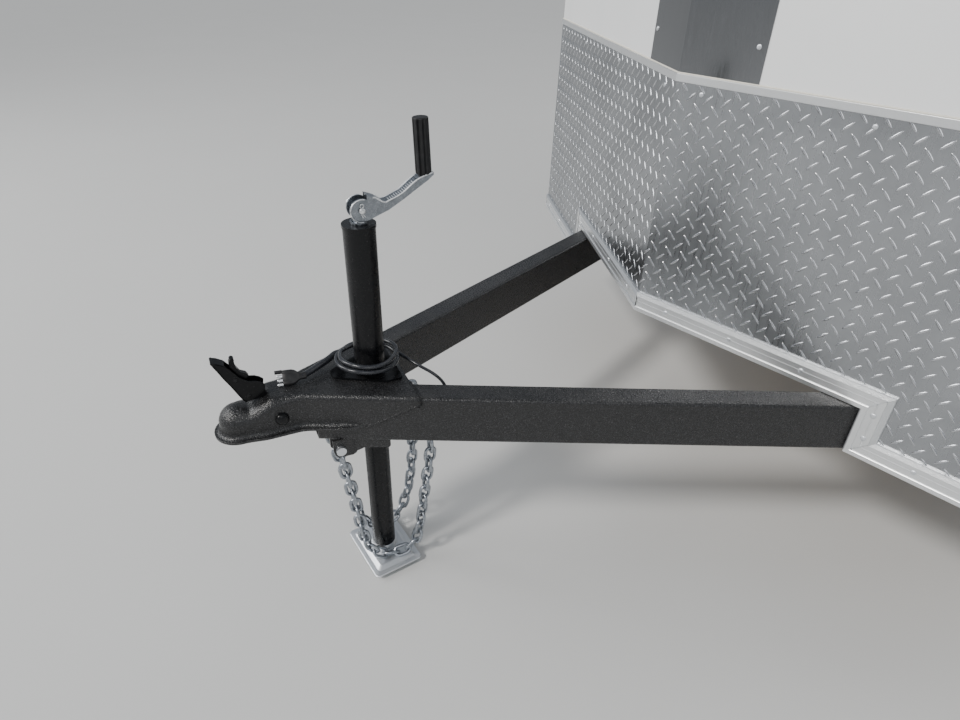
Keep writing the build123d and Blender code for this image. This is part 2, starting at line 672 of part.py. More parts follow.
# Course of the right chain after the bolt
RIGHT_CHAIN = [(-57, -82, 330), (-56, -73, 280), (-54, -63, 225), (-52, -54, 170), (-50, -47, 120),
               (-48, -38, 80), (-47, -24, 54), (-48, -4, 36), (-51, 20, 30.6), (-54, 42, 34),
               (-57, 60, 50), (-59, 72, 74), (-60, 84, 110), (-60, 95, 180), (-59, 99, 250),
               (-57, 99, 315), (-57, 99, 366)]


def link():
    """One oval link, lying along X, of few faces: a wire on edge round an eight-sided ring."""
    half, side = (LINK_LENGTH - LINK_WIRE) / 2, (LINK_WIDTH - LINK_WIRE) / 2
    right = [(half - LINK_CORNER, -side), (half, LINK_CORNER - side), (half, side - LINK_CORNER),
             (half - LINK_CORNER, side)]
    ring = Wire(Polyline(*right, *[(-x, -y) for x, y in right], close=True).edges())
    wire = Plane(origin=(0, side, 0), z_dir=(1, 0, 0)) * RegularPolygon(LINK_WIRE / 2, 4)
    return one(sweep(wire, path=ring, transition=Transition.RIGHT))


def chain(course):
    """Links a pitch apart from the bolt along a course, and the hook in place of the last one.

    Each is turned a quarter from the one before, and the chain twists slowly to its lean on the
    jack's foot and back.
    """
    pattern = link()
    side = math.copysign(CHAIN_X, course[0][0])
    top = CHAIN_BOLT[1] + CHAIN_BOLT_RADIUS + SEAT_GAP - LINK_PLAY / 2
    points = [Vector(side, Y_JACK - CHAIN_BOLT[0], top)]
    points += [Vector(x, Y_JACK + y, z) for x, y, z in course]
    joints = [points[0]]
    leg = 0
    while leg < len(points) - 1:
        start, end = points[leg], points[leg + 1]
        run = end - start
        offset = start - joints[-1]
        a, b, c = run.dot(run), 2 * run.dot(offset), offset.dot(offset) - LINK_PITCH ** 2
        root = b * b - 4 * a * c
        share = (-b + math.sqrt(root)) / (2 * a) if root >= 0 else 2
        if share <= 1:
            joints.append(start + run * share)
        else:
            leg += 1
    links = []
    for index, (start, end) in enumerate(zip(joints, joints[1:])):
        run = end - start
        plane = Plane(origin=(start + end) / 2, x_dir=run, z_dir=run.cross(Vector(1, 0, 0)).cross(run))
        lean = max(LINK_LEAN - LINK_TWIST * abs(index - FOOT_LINK), 0.0)
        links.append(plane * Rot(lean + 90 * (index % 2), 0, 0) * pattern)
    eye = links.pop()
    return links + [chain_hook(eye, joints[-1])]


HOOK_WIRE = 4.5
HOOK_RADIUS = 12.0
HOOK_MOUTH = 4.5


def chain_hook(eye, end):
    """An open hook over the plate's rear edge, on a shank from its eye."""
    y = Y_JACK + PLATE_BACK + HOOK_SET
    z = FRAME_BOTTOM - BRACKET_THICK / 2
    ring = Pos(end.X, y, z) * Rot(0, 90, 0) * Torus(HOOK_RADIUS, HOOK_WIRE)
    line = [(y, z), (y - 30, z - 16), (y - 30, z + HOOK_MOUTH), (y, z + HOOK_MOUTH)]
    mouth = side_prism(line, -HALF, HALF)
    shank = rod((end.X, end.Y, end.Z + LINK_WIRE), (end.X, y, z - HOOK_RADIUS), HOOK_WIRE)
    return eye + (ring - mouth) + shank


# Trailer wiring: a lead from the flat plug, a loose coil round the jack and a tail to
# the gland in the left beam. Distances are beside and behind the jack.

CORD = 8.0
COIL_INNER = 47.0
COIL_OUTER = 63.0
COIL_BOTTOM = COUPLER_TOP + FLANGE_THICK + 0.3
COIL_TOP = COIL_BOTTOM + 30.0
COIL_Y = -4.0
PLUG = (30.0, 42.0, 10.0)
PLUG_PLACE = (-19.0, -157.0)
PLUG_TURN = -31.0
LEAD = [(-8.5, -139.4, 10.3), (-1.5, -127.5, 10.6), (-3.0, -112.0, 12.0), (-9.0, -96.0, 15.0),
        (-14.0, -80.0, 18.5), (-17.0, -64.0, 20.0)]
TAIL = [(102.0, 119.0, -32.0), (92.0, 123.5, -32.0), (83.0, 124.0, -22.0), (77.0, 117.0, -7.0),
        (68.0, 104.0, 6.0), (54.0, 89.0, 14.0), (36.0, 75.0, 20.0), (15.0, 66.0, 22.0), (2.0, 59.4, 22.0)]
GLAND_RADIUS = 8.0
GLAND_LENGTH = 6.0


def cord_run(route):
    """A round cord through a route given above the frame's top, with arcs as large as its runs allow."""
    points = [Vector(x, Y_JACK + y, FRAME_TOP + z) for x, y, z in route]
    radii = []
    for before, here, after in zip(points, points[1:], points[2:]):
        turn = math.radians((here - before).get_angle(after - here))
        radii.append(0.45 * min((here - before).length, (after - here).length) / math.tan(turn / 2))
    print("cord radii", [round(radius) for radius in radii])
    path = FilletPolyline(*points, radius=radii)
    section = Plane(origin=points[0], z_dir=points[1] - points[0]) * Circle(CORD / 2)
    solid = sweep(section, path=path)
    share = solid.volume / path.length / (math.pi * CORD ** 2 / 4)
    print("cord volume over length times section", round(share, 3))
    return solid


def wiring_coil():
    """The outer shape of the coil round the jack."""
    centre = (0, Y_JACK + COIL_Y)
    coil = rod((*centre, COIL_BOTTOM), (*centre, COIL_TOP), COIL_OUTER)
    return coil - rod((*centre, 0), (*centre, TALL), COIL_INNER)


def wiring_plug():
    """The flat four-way plug: a moulded body, three bare pins and a shrouded one."""
    width, length, height = PLUG
    body = extrude(RectangleRounded(width, length - 14.0, 3.0), height)
    body = Pos(0, 7.0, 0) * body
    for index in range(4):
        x = (index - 1.5) * 7.2
        radius = 3.3 if index == 0 else 2.0
        body += rod((x, 1.0, height / 2), (x, 14.0 - length + length / 4, height / 2), radius)
    return Pos(PLUG_PLACE[0], Y_JACK + PLUG_PLACE[1], COUPLER_TOP + SEAT_GAP) * Rot(0, 0, PLUG_TURN) * body


def wiring_gland():
    """The rubber gland in the left beam's inner face."""
    turn = math.radians(TONGUE_HALF_ANGLE)
    inward = Vector(-math.cos(turn), math.sin(turn), 0)
    x, y, z = TAIL[0]
    seat_x = (Y_JACK + y - Y_MEET) * TONGUE_TAN - TUBE_WIDTH / TONGUE_COS
    seat = Vector(seat_x, Y_JACK + y, FRAME_TOP + z)
    gland = rod(tuple(seat), tuple(seat + inward * GLAND_LENGTH), GLAND_RADIUS)
    bore = rod(tuple(seat - inward), tuple(seat + inward * 20.0), CORD / 2 + SEAT_GAP)
    return gland - bore


# Running gear

SPRING_X = RAIL_OUTER - TUBE_WIDTH / 2
AXLE_Z = TYRE_RADIUS - AXLE_DROP
AXLE_END = TRACK_HALF - 120.0
DROP_THICK = 18.0
DROP_WIDTH = 74.0
HUB_BACK = TRACK_HALF - 92.0
HUB_RADIUS = 36.0
HUB_FLANGE = 72.0
HUB_FLANGE_THICK = 10.0
CAP_RADIUS = 30.0
CAP_LENGTH = 34.0
STUD_RADIUS = 6.3
STUD_LENGTH = 24.0
NUT_FLATS = 19.0
DISC_THICK = 6.0
STUD_COUNT = 5
SPRING_ARCH = 62.0
SPRING_SEAT = 4.0
EYE_OUTER = 14.0
EYE_BOLT = 7.0
SPRING_BOTTOM = AXLE_Z + AXLE_RADIUS + SPRING_SEAT
SHACKLE_BACK = 36.0
SHACKLE_RISE = 20.0
SHACKLE_END = 15.0
HANGER_THICK = 5.0

# Half length of each leaf, the lowest first
LEAVES = [110.0, 190.0, 265.0, 312.0]
EYE_Z = SPRING_BOTTOM + LEAF * len(LEAVES) + SPRING_ARCH + 4.0


def axle():
    """The tubular axle with spring seats, drop ends and spindles."""
    beam = rod((-AXLE_END, Y_AXLE, AXLE_Z), (AXLE_END, Y_AXLE, AXLE_Z), AXLE_RADIUS)
    beam -= rod((20 - AXLE_END, Y_AXLE, AXLE_Z), (AXLE_END - 20, Y_AXLE, AXLE_Z), AXLE_RADIUS - 5.0)
    half = DROP_WIDTH / 2
    x0, x1 = AXLE_END - DROP_THICK, AXLE_END
    drop = block(x0, x1, Y_AXLE - half, Y_AXLE + half, AXLE_Z, TYRE_RADIUS)
    drop += rod((x0, Y_AXLE, AXLE_Z), (x1, Y_AXLE, AXLE_Z), half)
    drop += rod((x0, Y_AXLE, TYRE_RADIUS), (x1, Y_AXLE, TYRE_RADIUS), half)
    spindle = rod((x0, Y_AXLE, TYRE_RADIUS), (TRACK_HALF, Y_AXLE, TYRE_RADIUS), SPINDLE_RADIUS)
    seat = block(SPRING_X - SPRING_WIDTH / 2, SPRING_X + SPRING_WIDTH / 2, Y_AXLE - 30.0, Y_AXLE + 30.0,
                 AXLE_Z, SPRING_BOTTOM)
    seat -= rod((0, Y_AXLE, AXLE_Z), (TALL, Y_AXLE, AXLE_Z), AXLE_RADIUS - 1.0)
    side = drop + spindle + seat
    return beam + side + mirror_x(side)


def leaf_spring():
    """The left spring: four leaves on one arc, with an eye at each end."""
    stack = LEAF * len(LEAVES)
    radius = (SPRING_SPAN ** 2 / 4 + SPRING_ARCH ** 2) / (2 * SPRING_ARCH)
    centre = SPRING_BOTTOM + stack + radius
    x0, x1 = SPRING_X - SPRING_WIDTH / 2, SPRING_X + SPRING_WIDTH / 2
    spring = None
    for index, half in enumerate(LEAVES):
        outer = radius + stack - index * LEAF
        strip = rod((x0, Y_AXLE, centre), (x1, Y_AXLE, centre), outer)
        strip -= rod((x0 - 1, Y_AXLE, centre), (x1 + 1, Y_AXLE, centre), outer - LEAF)
        strip &= block(x0, x1, Y_AXLE - half, Y_AXLE + half, 0, centre - radius / 2)
        spring = strip if spring is None else spring + strip
    for end in (-1, 1):
        y = Y_AXLE + end * SPRING_SPAN / 2
        eye = rod((x0, y, EYE_Z), (x1, y, EYE_Z), EYE_OUTER)
        spring += eye
    for end in (-1, 1):
        y = Y_AXLE + end * SPRING_SPAN / 2
        spring -= rod((x0 - 1, y, EYE_Z), (x1 + 1, y, EYE_Z), EYE_BOLT + PIN_CLEARANCE)
    return spring


def spring_hangers():
    """Front hanger, rear hanger and shackle of the left spring, with their bolts."""
    inside = SPRING_WIDTH / 2 + 0.5
    front, back = Y_AXLE - SPRING_SPAN / 2, Y_AXLE + SPRING_SPAN / 2
    pin_y, pin_z = back + SHACKLE_BACK, EYE_Z + SHACKLE_RISE
    pieces = None
    for side in (-1, 1):
        x0 = SPRING_X + side * inside
        x1 = x0 + side * HANGER_THICK
        x2 = x1 + side * HANGER_THICK
        lo, hi = min(x0, x1), max(x0, x1)
        hanger = side_prism([(front - 40, FRAME_BOTTOM), (front - 16, EYE_Z - 16), (front + 16, EYE_Z - 16),
                             (front + 30, FRAME_BOTTOM)], lo, hi)
        shackle = rod((lo, back, EYE_Z), (hi, back, EYE_Z), SHACKLE_END)
        shackle += rod((lo, pin_y, pin_z), (hi, pin_y, pin_z), SHACKLE_END)
        shackle += side_prism([(back - 6, EYE_Z + 13), (pin_y - 6, pin_z + 13), (pin_y + 6, pin_z - 13),
                               (back + 6, EYE_Z - 13)], lo, hi)
        lo, hi = min(x1, x2), max(x1, x2)
        rear = side_prism([(pin_y - 22, FRAME_BOTTOM), (pin_y - 14, pin_z - 14), (pin_y + 14, pin_z - 14),
                           (pin_y + 30, FRAME_BOTTOM)], lo, hi)
        side_pieces = hanger + shackle + rear
        pieces = side_pieces if pieces is None else pieces + side_pieces
    reach = inside + 2 * HANGER_THICK + 8.0
    for y, z in ((front, EYE_Z), (back, EYE_Z), (pin_y, pin_z)):
        pieces += rod((SPRING_X - reach, y, z), (SPRING_X + reach, y, z), EYE_BOLT)
    return pieces


def hub():
    """The left hub: barrel on the spindle, flange, five studs with nuts and a dust cap."""
    z = TYRE_RADIUS
    x = TRACK_HALF
    body = rod((HUB_BACK, Y_AXLE, z), (x, Y_AXLE, z), HUB_RADIUS)
    body += rod((x - HUB_FLANGE_THICK, Y_AXLE, z), (x, Y_AXLE, z), HUB_FLANGE)
    body += rod((x, Y_AXLE, z), (x + CAP_LENGTH, Y_AXLE, z), CAP_RADIUS)
    body -= rod((HUB_BACK - 1, Y_AXLE, z), (x + SEAT_GAP, Y_AXLE, z), SPINDLE_RADIUS + PIN_CLEARANCE)
    outside = x + DISC_THICK
    for index in range(STUD_COUNT):
        turn = math.radians(90 + 360 / STUD_COUNT * index)
        y = Y_AXLE + BOLT_CIRCLE / 2 * math.cos(turn)
        height = z + BOLT_CIRCLE / 2 * math.sin(turn)
        body += rod((x - 1, y, height), (x + STUD_LENGTH, y, height), STUD_RADIUS)
        nut = Plane(origin=(outside, y, height), x_dir=(0, 1, 0), z_dir=(1, 0, 0))
        body += extrude(nut * RegularPolygon(NUT_FLATS / 2, 6, major_radius=False), 14.0)
    return body


RIM_SHEET = 4.0
RIM_LIP = 203.0
DISC_BORE = 34.0
DISC_SLOTS = 10

RIM_WELL = 162.0
BEAD_FALL = 2.0
BEAD_HALF = RIM_WIDTH / 2 - 4.0

# Half outline of the rim's section: beside its middle, radius
RIM_LINE = [(-RIM_WIDTH / 2, RIM_LIP), (-BEAD_HALF, RIM_RADIUS), (-42.0, RIM_RADIUS - BEAD_FALL),
            (-30.0, RIM_WELL), (14.0, RIM_WELL), (28.0, RIM_RADIUS - BEAD_FALL), (BEAD_HALF, RIM_RADIUS),
            (RIM_WIDTH / 2, RIM_LIP)]


def wheel():
    """The left steel wheel: rolled rim and a pressed disc with slots."""
    inner = [(x, r - RIM_SHEET) for x, r in reversed(RIM_LINE)]
    face = make_face(Polyline(*[(x, 0, r) for x, r in RIM_LINE + inner], close=True))
    rim = revolve(face, Axis.X)
    disc_line = [(0, DISC_BORE), (0, 78.0), (22.0, 104.0), (22.0, 132.0), (4.0, 159.0),
                 (4.0 + DISC_THICK, 159.0), (22.0 + DISC_THICK, 134.0), (22.0 + DISC_THICK, 100.0),
                 (DISC_THICK, 75.0), (DISC_THICK, DISC_BORE)]
    disc = revolve(make_face(Polyline(*[(x, 0, r) for x, r in disc_line], close=True)), Axis.X)
    for index in range(DISC_SLOTS):
        slot = Rot(360 / DISC_SLOTS * index, 0, 0) * block(-5, 60, -17, 17, 112, 132)
        disc -= slot
    for index in range(STUD_COUNT):
        turn = Rot(360 / STUD_COUNT * index, 0, 0)
        disc -= turn * rod((-5, 0, BOLT_CIRCLE / 2), (20, 0, BOLT_CIRCLE / 2), STUD_RADIUS + 1.0)
    return Pos(TRACK_HALF, Y_AXLE, TYRE_RADIUS) * (rim + disc)


TREAD_HALF = 74.0
TYRE_BULGE = 268.0


def tyre():
    """The left tyre, seated on the rim."""
    half = TYRE_WIDTH / 2
    seat = RIM_LIP - 2.0
    outer = [(TREAD_HALF, TYRE_RADIUS), (TREAD_HALF + 14, TYRE_RADIUS - 12), (half, TYRE_BULGE),
             (BEAD_HALF, seat)]
    line = [(-x, r) for x, r in reversed(outer)] + outer
    bead, edge = RIM_RADIUS + SEAT_GAP, RIM_RADIUS - BEAD_FALL + SEAT_GAP
    line += [(BEAD_HALF, bead), (28.0, edge), (-42.0, edge), (-BEAD_HALF, bead)]
    face = make_face(Polyline(*[(x, 0, r) for x, r in line], close=True))
    return Pos(TRACK_HALF, Y_AXLE, TYRE_RADIUS) * revolve(face, Axis.X)


FENDER_LIP = 34.0


def fender():
    """The left fender: a sheet arch with a folded outer lip and an inner flange."""
    centre = (Y_AXLE, TYRE_RADIUS)

    def arch(x0, x1, outer, inner):
        band = rod((x0, *centre), (x1, *centre), outer) - rod((x0 - 1, *centre), (x1 + 1, *centre), inner)
        return band & block(x0, x1, Y_TIP, Y_REAR, FRAME_BOTTOM, TALL)
    sheet = arch(HALF, FENDER_OUTER, FENDER_RADIUS, FENDER_RADIUS - FENDER_THICK)
    lip = arch(FENDER_OUTER - FENDER_THICK, FENDER_OUTER, FENDER_RADIUS, FENDER_RADIUS - FENDER_LIP)
    flange = arch(HALF, HALF + FENDER_THICK, FENDER_RADIUS + 20.0, FENDER_RADIUS - FENDER_THICK)
    return sheet + lip + flange


# Doors

LOCK_BAR = 9.0
LOCK_BAR_OUT = 22.0
LOCK_X = 700.0
LOCK_LOW = 1190.0
HANDLE_THICK = 14.0


def hinge_set(places, door):
    """Ramp hinges at each place: the door's middle knuckles, or the sill's outer ones with the pin."""
    pieces = []
    third = HINGE_KNUCKLE
    for x in places:
        if door:
            piece = rod((x - third / 2, Y_PIN, Z_PIN), (x + third / 2, Y_PIN, Z_PIN), HINGE_RADIUS)
            piece += block(x - third / 2, x + third / 2, Y_REAR, Y_REAR + 4, Z_PIN, Z_PIN + 14)
            piece += block(x - 40, x + 40, Y_REAR, Y_REAR + 4, Z_PIN + HINGE_RADIUS + 4, Z_PIN + 74)
            piece -= rod((x - 50, Y_PIN, Z_PIN), (x + 50, Y_PIN, Z_PIN), HINGE_PIN + PIN_CLEARANCE)
        else:
            piece = rod((x - 40, Y_PIN, Z_PIN), (x + 40, Y_PIN, Z_PIN), HINGE_RADIUS)
            piece += block(x - 40, x + 40, Y_REAR, Y_REAR + 4, FRAME_BOTTOM + 6, Z_PIN)
            gap = third / 2 + HINGE_PLAY
            piece -= block(x - gap, x + gap, Y_REAR - 10, Y_PIN + 20, Z_PIN - HINGE_RADIUS - 5, Z_PIN + 20)
            piece += rod((x - 40, Y_PIN, Z_PIN), (x + 40, Y_PIN, Z_PIN), HINGE_PIN)
        pieces.append(piece)
    return pieces


def ramp_door():
    """The rear ramp door with a turned edge round its outside."""
    half = RAIL_INNER - DOOR_GAP
    door = block(-half, half, Y_REAR - RAMP_THICK, Y_REAR, RAMP_BOTTOM, RAMP_TOP)
    return door - block(60 - half, half - 60, Y_REAR - 2.0, Y_REAR + 1, RAMP_BOTTOM + 90, RAMP_TOP - 60)


def ramp_lock():
    """The left bar lock: bar, three brackets, cam and folding handle."""
    y = Y_REAR + LOCK_BAR_OUT
    top = RAMP_TOP - 14.0
    lock = rod((LOCK_X, y, LOCK_LOW), (LOCK_X, y, top + 34.0), LOCK_BAR)
    for z in (LOCK_LOW + 20.0, (LOCK_LOW + top) / 2, top - 40.0):
        lock += block(LOCK_X - 24, LOCK_X + 24, Y_REAR, y, z - 20, z + 20)
    lock += block(LOCK_X - 16, LOCK_X + 16, y - 8, y + 10, top + 20, top + 36)
    lock += block(LOCK_X - 14, LOCK_X + 14, y, y + 18, LOCK_LOW + 70, LOCK_LOW + 98)
    inside, outside = Y_REAR + REAR_HARDWARE - HANDLE_THICK, Y_REAR + REAR_HARDWARE
    handle = block(LOCK_X - 200, LOCK_X + 16, inside, outside, LOCK_LOW + 72, LOCK_LOW + 96)
    hasp = block(LOCK_X - 170, LOCK_X - 130, Y_REAR, inside, LOCK_LOW + 64, LOCK_LOW + 104)
    return lock + fillet(handle.edges().filter_by(Axis.Y), 8.0) + hasp


def lock_keeper():
    """The left keeper on the header: two cheeks beside the lock's cam."""
    top = RAMP_TOP - 14.0
    y = Y_REAR + LOCK_BAR_OUT
    keeper = block(LOCK_X - 30, LOCK_X + 30, Y_REAR, Y_REAR + 5, top + 22, top + 66)
    for side in (-1, 1):
        x = LOCK_X + side * 26
        keeper += block(x - 4, x + 4, Y_REAR, y + 8, top + 22, top + 46)
    return keeper


SIDE_HINGE_END = 220.0
SIDE_DOOR_TALL = SIDE_DOOR_TOP - SIDE_DOOR_BOTTOM
SIDE_HINGES = [SIDE_HINGE_END, SIDE_DOOR_TALL / 2, SIDE_DOOR_TALL - SIDE_HINGE_END]
SIDE_KNUCKLE = 26.0
SIDE_PIN_X = -HALF - SIDE_PIN_OUT
SIDE_PIN_Y = SIDE_DOOR_FRONT - 3.0
SIDE_HINGE_RADIUS = 7.0
SIDE_HINGE_PIN = 3.5


def side_door():
    """The side door slab."""
    return block(-HALF, -INNER_HALF, SIDE_DOOR_FRONT, SIDE_DOOR_BACK, SIDE_DOOR_BOTTOM, SIDE_DOOR_TOP)


def side_hinges(door):
    """Side door hinges: the door's middle knuckles, or the frame's outer ones with the pin."""
    pieces = []
    x, y, r = SIDE_PIN_X, SIDE_PIN_Y, SIDE_HINGE_RADIUS
    for height in SIDE_HINGES:
        z = SIDE_DOOR_BOTTOM + height
        if door:
            piece = rod((x, y, z - SIDE_KNUCKLE / 2), (x, y, z + SIDE_KNUCKLE / 2), r)
            piece += block(x - r, x - r + 3, y, y + 16, z - SIDE_KNUCKLE / 2, z + SIDE_KNUCKLE / 2)
            piece += block(x - r, -HALF, y + 13, y + 16, z - SIDE_KNUCKLE / 2, z + SIDE_KNUCKLE / 2)
            piece += block(-HALF - 3, -HALF, y + 13, y + 60, z - 40, z + 40)
            piece -= rod((x, y, z - 60), (x, y, z + 60), SIDE_HINGE_PIN + PIN_CLEARANCE)
        else:
            piece = rod((x, y, z - 40), (x, y, z + 40), r)
            piece += block(x, -HALF - JAMB_FLANGE_THICK, y - r, y, z - 40, z + 40)
            gap = SIDE_KNUCKLE / 2 + HINGE_PLAY
            piece -= block(x - 20, -HALF - JAMB_FLANGE_THICK, y - 20, y + 20, z - gap, z + gap)
            piece += rod((x, y, z - 40), (x, y, z + 40), SIDE_HINGE_PIN)
        pieces.append(piece)
    return pieces


SIDE_LATCH_HEIGHT = 860.0


def side_latch():
    """The flush lock of the side door: plate, cup rim and paddle."""
    y = SIDE_DOOR_BACK - 75.0
    z = SIDE_DOOR_BOTTOM + SIDE_LATCH_HEIGHT
    face = Plane(origin=(-HALF, y, z), x_dir=(0, -1, 0), z_dir=(-1, 0, 0))
    plate = extrude(face * RectangleRounded(112, 132, 10.0), 5.0)
    paddle = extrude(face * Pos(0, -12, 0) * RectangleRounded(84, 42, 8.0), 22.0)
    paddle -= extrude(face * Pos(0, -12, 0) * RectangleRounded(60, 30, 4.0), 17.0)
    button = extrude(face * Pos(30, 40, 0) * Circle(9.0), 9.0)
    return plate + paddle + button


# Lamps, vents and plate bracket

TAIL_LAMP = (38.0, 230.0, 16.0)
TAIL_LAMP_Z = 1010.0
MARKER = (26.0, 64.0, 16.0)
ID_LAMP_PITCH = 165.0

# Marker lamps of the side walls: in from each end, heights
MARKER_SET = 60.0
MARKER_LOW = FLOOR + 88.1
MARKER_HIGH = WALL_TOP - 76.9


def tail_lamp():
    """The left tail lamp on the rear post."""
    width, height, depth = TAIL_LAMP
    face = Plane(origin=((RAIL_INNER + HALF) / 2, Y_REAR, TAIL_LAMP_Z), x_dir=(-1, 0, 0), z_dir=(0, 1, 0))
    lamp = extrude(face * RectangleRounded(width, height, 18.0), depth)
    return chamfer(lamp.faces().sort_by(Axis.Y)[-1].edges(), 4.0)


def id_lamps():
    """Three red lamps in the middle of the header."""
    z = WALL_TOP - HEADER / 2 - ROOF_RAIL_DROP / 2
    lamps = []
    for index in (-1, 0, 1):
        face = Plane(origin=(index * ID_LAMP_PITCH, Y_REAR, z), x_dir=(-1, 0, 0), z_dir=(0, 1, 0))
        lamp = extrude(face * RectangleRounded(MARKER[1], MARKER[0], 10.0), MARKER[2])
        lamps.append(chamfer(lamp.faces().sort_by(Axis.Y)[-1].edges(), 3.0))
    return lamps


def side_marker(y, z):
    """A marker lamp on the left side wall."""
    face = Plane(origin=(HALF, y, z), x_dir=(0, 1, 0), z_dir=(1, 0, 0))
    lamp = extrude(face * RectangleRounded(MARKER[1], MARKER[0], 10.0), MARKER[2])
    return chamfer(lamp.faces().sort_by(Axis.X)[-1].edges(), 3.0)


PLATE_X = 585.0
PLATE_WIDTH = 290.0
PLATE_HOLE_RADIUS = 3.2
PLATE_HOLE_PITCH = 177.8
PLATE_TOP = 456.0
PLATE_HEIGHT = 152.0


def plate_bracket():
    """The blank plate holder under the rear sill, with its two bolt holes."""
    y0, y1 = Y_REAR, Y_REAR + 2.5
    half = PLATE_WIDTH / 2
    plate = block(PLATE_X - half, PLATE_X + half, y0, y1, PLATE_TOP - PLATE_HEIGHT, PLATE_TOP)
    plate = fillet(plate.edges().filter_by(Axis.Y), 8.0)
    z = FRAME_BOTTOM - 14.0
    for side in (-1, 1):
        x = PLATE_X + side * PLATE_HOLE_PITCH / 2
        plate -= rod((x, y0 - 1, z), (x, y1 + 1, z), PLATE_HOLE_RADIUS)
    return plate


VENT = (150.0, 110.0, 22.0)


def side_vent():
    """A louvred vent low on the left wall, open at the back."""
    y = Y_REAR - 420.0
    z = FLOOR + 420.0
    face = Plane(origin=(HALF, y, z), x_dir=(0, 1, 0), z_dir=(1, 0, 0))
    vent = extrude(face * RectangleRounded(VENT[0], VENT[1], 8.0), VENT[2])
    vent = chamfer(vent.faces().sort_by(Axis.X)[-1].edges(), 8.0)
    half = VENT[0] / 2
    return vent - block(HALF, HALF + VENT[2] - 3, y - half + 10, y + half + 10, z - 45, z + 45)


ROOF_VENT = 360.0


def roof_vent():
    """The vent lid and its base ring on the roof."""
    y = (Y_CORNER + Y_REAR) / 2
    base = Pos(0, y, ROOF_TOP + ROOF_CROWN - 4.0) * Box(ROOF_VENT, ROOF_VENT, 24.0)
    base -= roof()
    lid = extrude(RectangleRounded(ROOF_VENT + 40, ROOF_VENT + 40, 30.0), 34.0, taper=14)
    return base + Pos(0, y, ROOF_TOP + ROOF_CROWN + 8.0) * lid


os.makedirs("parts", exist_ok=True)

doorway = side_doorway(DOOR_GAP + JAMB)
right_wall = mirror_x(side_wall()) - doorway
amber = [side_marker(Y_CORNER + MARKER_SET, z) for z in (MARKER_LOW, MARKER_HIGH)]
red = side_marker(Y_REAR - POST_DEPTH - MARKER_SET, MARKER_LOW)

save("tongue_beam_left", tongue_beam())
save("tongue_beam_right", mirror_x(tongue_beam()))
save("frame_rail_left", side_rail())
save("frame_rail_right", mirror_x(side_rail()))
save("nose_rails", nose_rail(), mirror_x(nose_rail()))
save("crossmembers", *crossmembers())
save("rear_sill", rear_sill())
save("deck", deck())
save("side_wall_left", side_wall())
save("side_wall_right", right_wall)
save("nose_wall_left", nose_wall())
save("nose_wall_right", mirror_x(nose_wall()))
save("rear_frame", rear_frame())
save("roof", roof())
save("roof_rail", roof_rail())
save("stone_guard_left", stone_guard())
save("stone_guard_right", mirror_x(stone_guard()))
save("guard_trim_left", guard_trim())
save("guard_trim_right", mirror_x(guard_trim()))
save("guard_cap", guard_cap(), mirror_x(guard_cap()))
save("nose_strip", nose_strip())
save("coupler", coupler())
save("ball_clamp", ball_clamp())
save("coupler_latch", latch())
save("jack_tube", jack_tube())
save("jack_leg", jack_leg())
save("jack_foot", jack_foot())
save("jack_crank", jack_crank())
save("jack_grip", jack_grip())
save("chain_bracket", chain_bracket())
save("chain_bolt", chain_bolt())
save("safety_chain_left", *chain(LEFT_CHAIN))
save("safety_chain_right", *chain(RIGHT_CHAIN))
save("wiring_plug", wiring_plug())
save("wiring_lead", cord_run(LEAD))
save("wiring_coil", wiring_coil())
save("wiring_tail", cord_run(TAIL))
save("wiring_gland", wiring_gland())
save("axle", axle())
save("leaf_springs", leaf_spring(), mirror_x(leaf_spring()))
save("spring_hangers", spring_hangers(), mirror_x(spring_hangers()))
save("hub_left", hub())
save("hub_right", mirror_x(hub()))
save("wheel_left", wheel())
save("wheel_right", mirror_x(wheel()))
save("tyre_left", tyre())
save("tyre_right", mirror_x(tyre()))
save("fender_left", fender())
save("fender_right", mirror_x(fender()))
save("ramp_door", ramp_door())
save("ramp_door_hinges", *hinge_set(RAMP_HINGES, True))
save("ramp_locks", ramp_lock(), mirror_x(ramp_lock()))
sill_hinges = hinge_set(RAMP_HINGES, False)
save("rear_hardware", *sill_hinges, lock_keeper(), mirror_x(lock_keeper()), plate_bracket())
save("side_door", side_door())
save("side_door_hardware", *side_hinges(True), side_latch())
save("side_door_frame", side_door_frame(), *side_hinges(False))
save("red_lamps", tail_lamp(), mirror_x(tail_lamp()), *id_lamps(), red, mirror_x(red))
save("amber_lamps", *amber, *[mirror_x(lamp) for lamp in amber])
save("vents", side_vent(), mirror_x(side_vent()), roof_vent())
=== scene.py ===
"""Surfaces, trims, chains and wiring of an enclosed cargo trailer, laid over its frame.

Metres, +X the trailer's left, +Y its rear, +Z up. The ground is at Z 0 and X 0 is the
centreline.
"""

import json
import math

import bmesh
import bpy
import numpy as np
from bpy.props import FloatProperty, FloatVectorProperty, IntProperty, PointerProperty
from bpy.types import Operator, Panel, PropertyGroup
from mathutils import Matrix, Vector


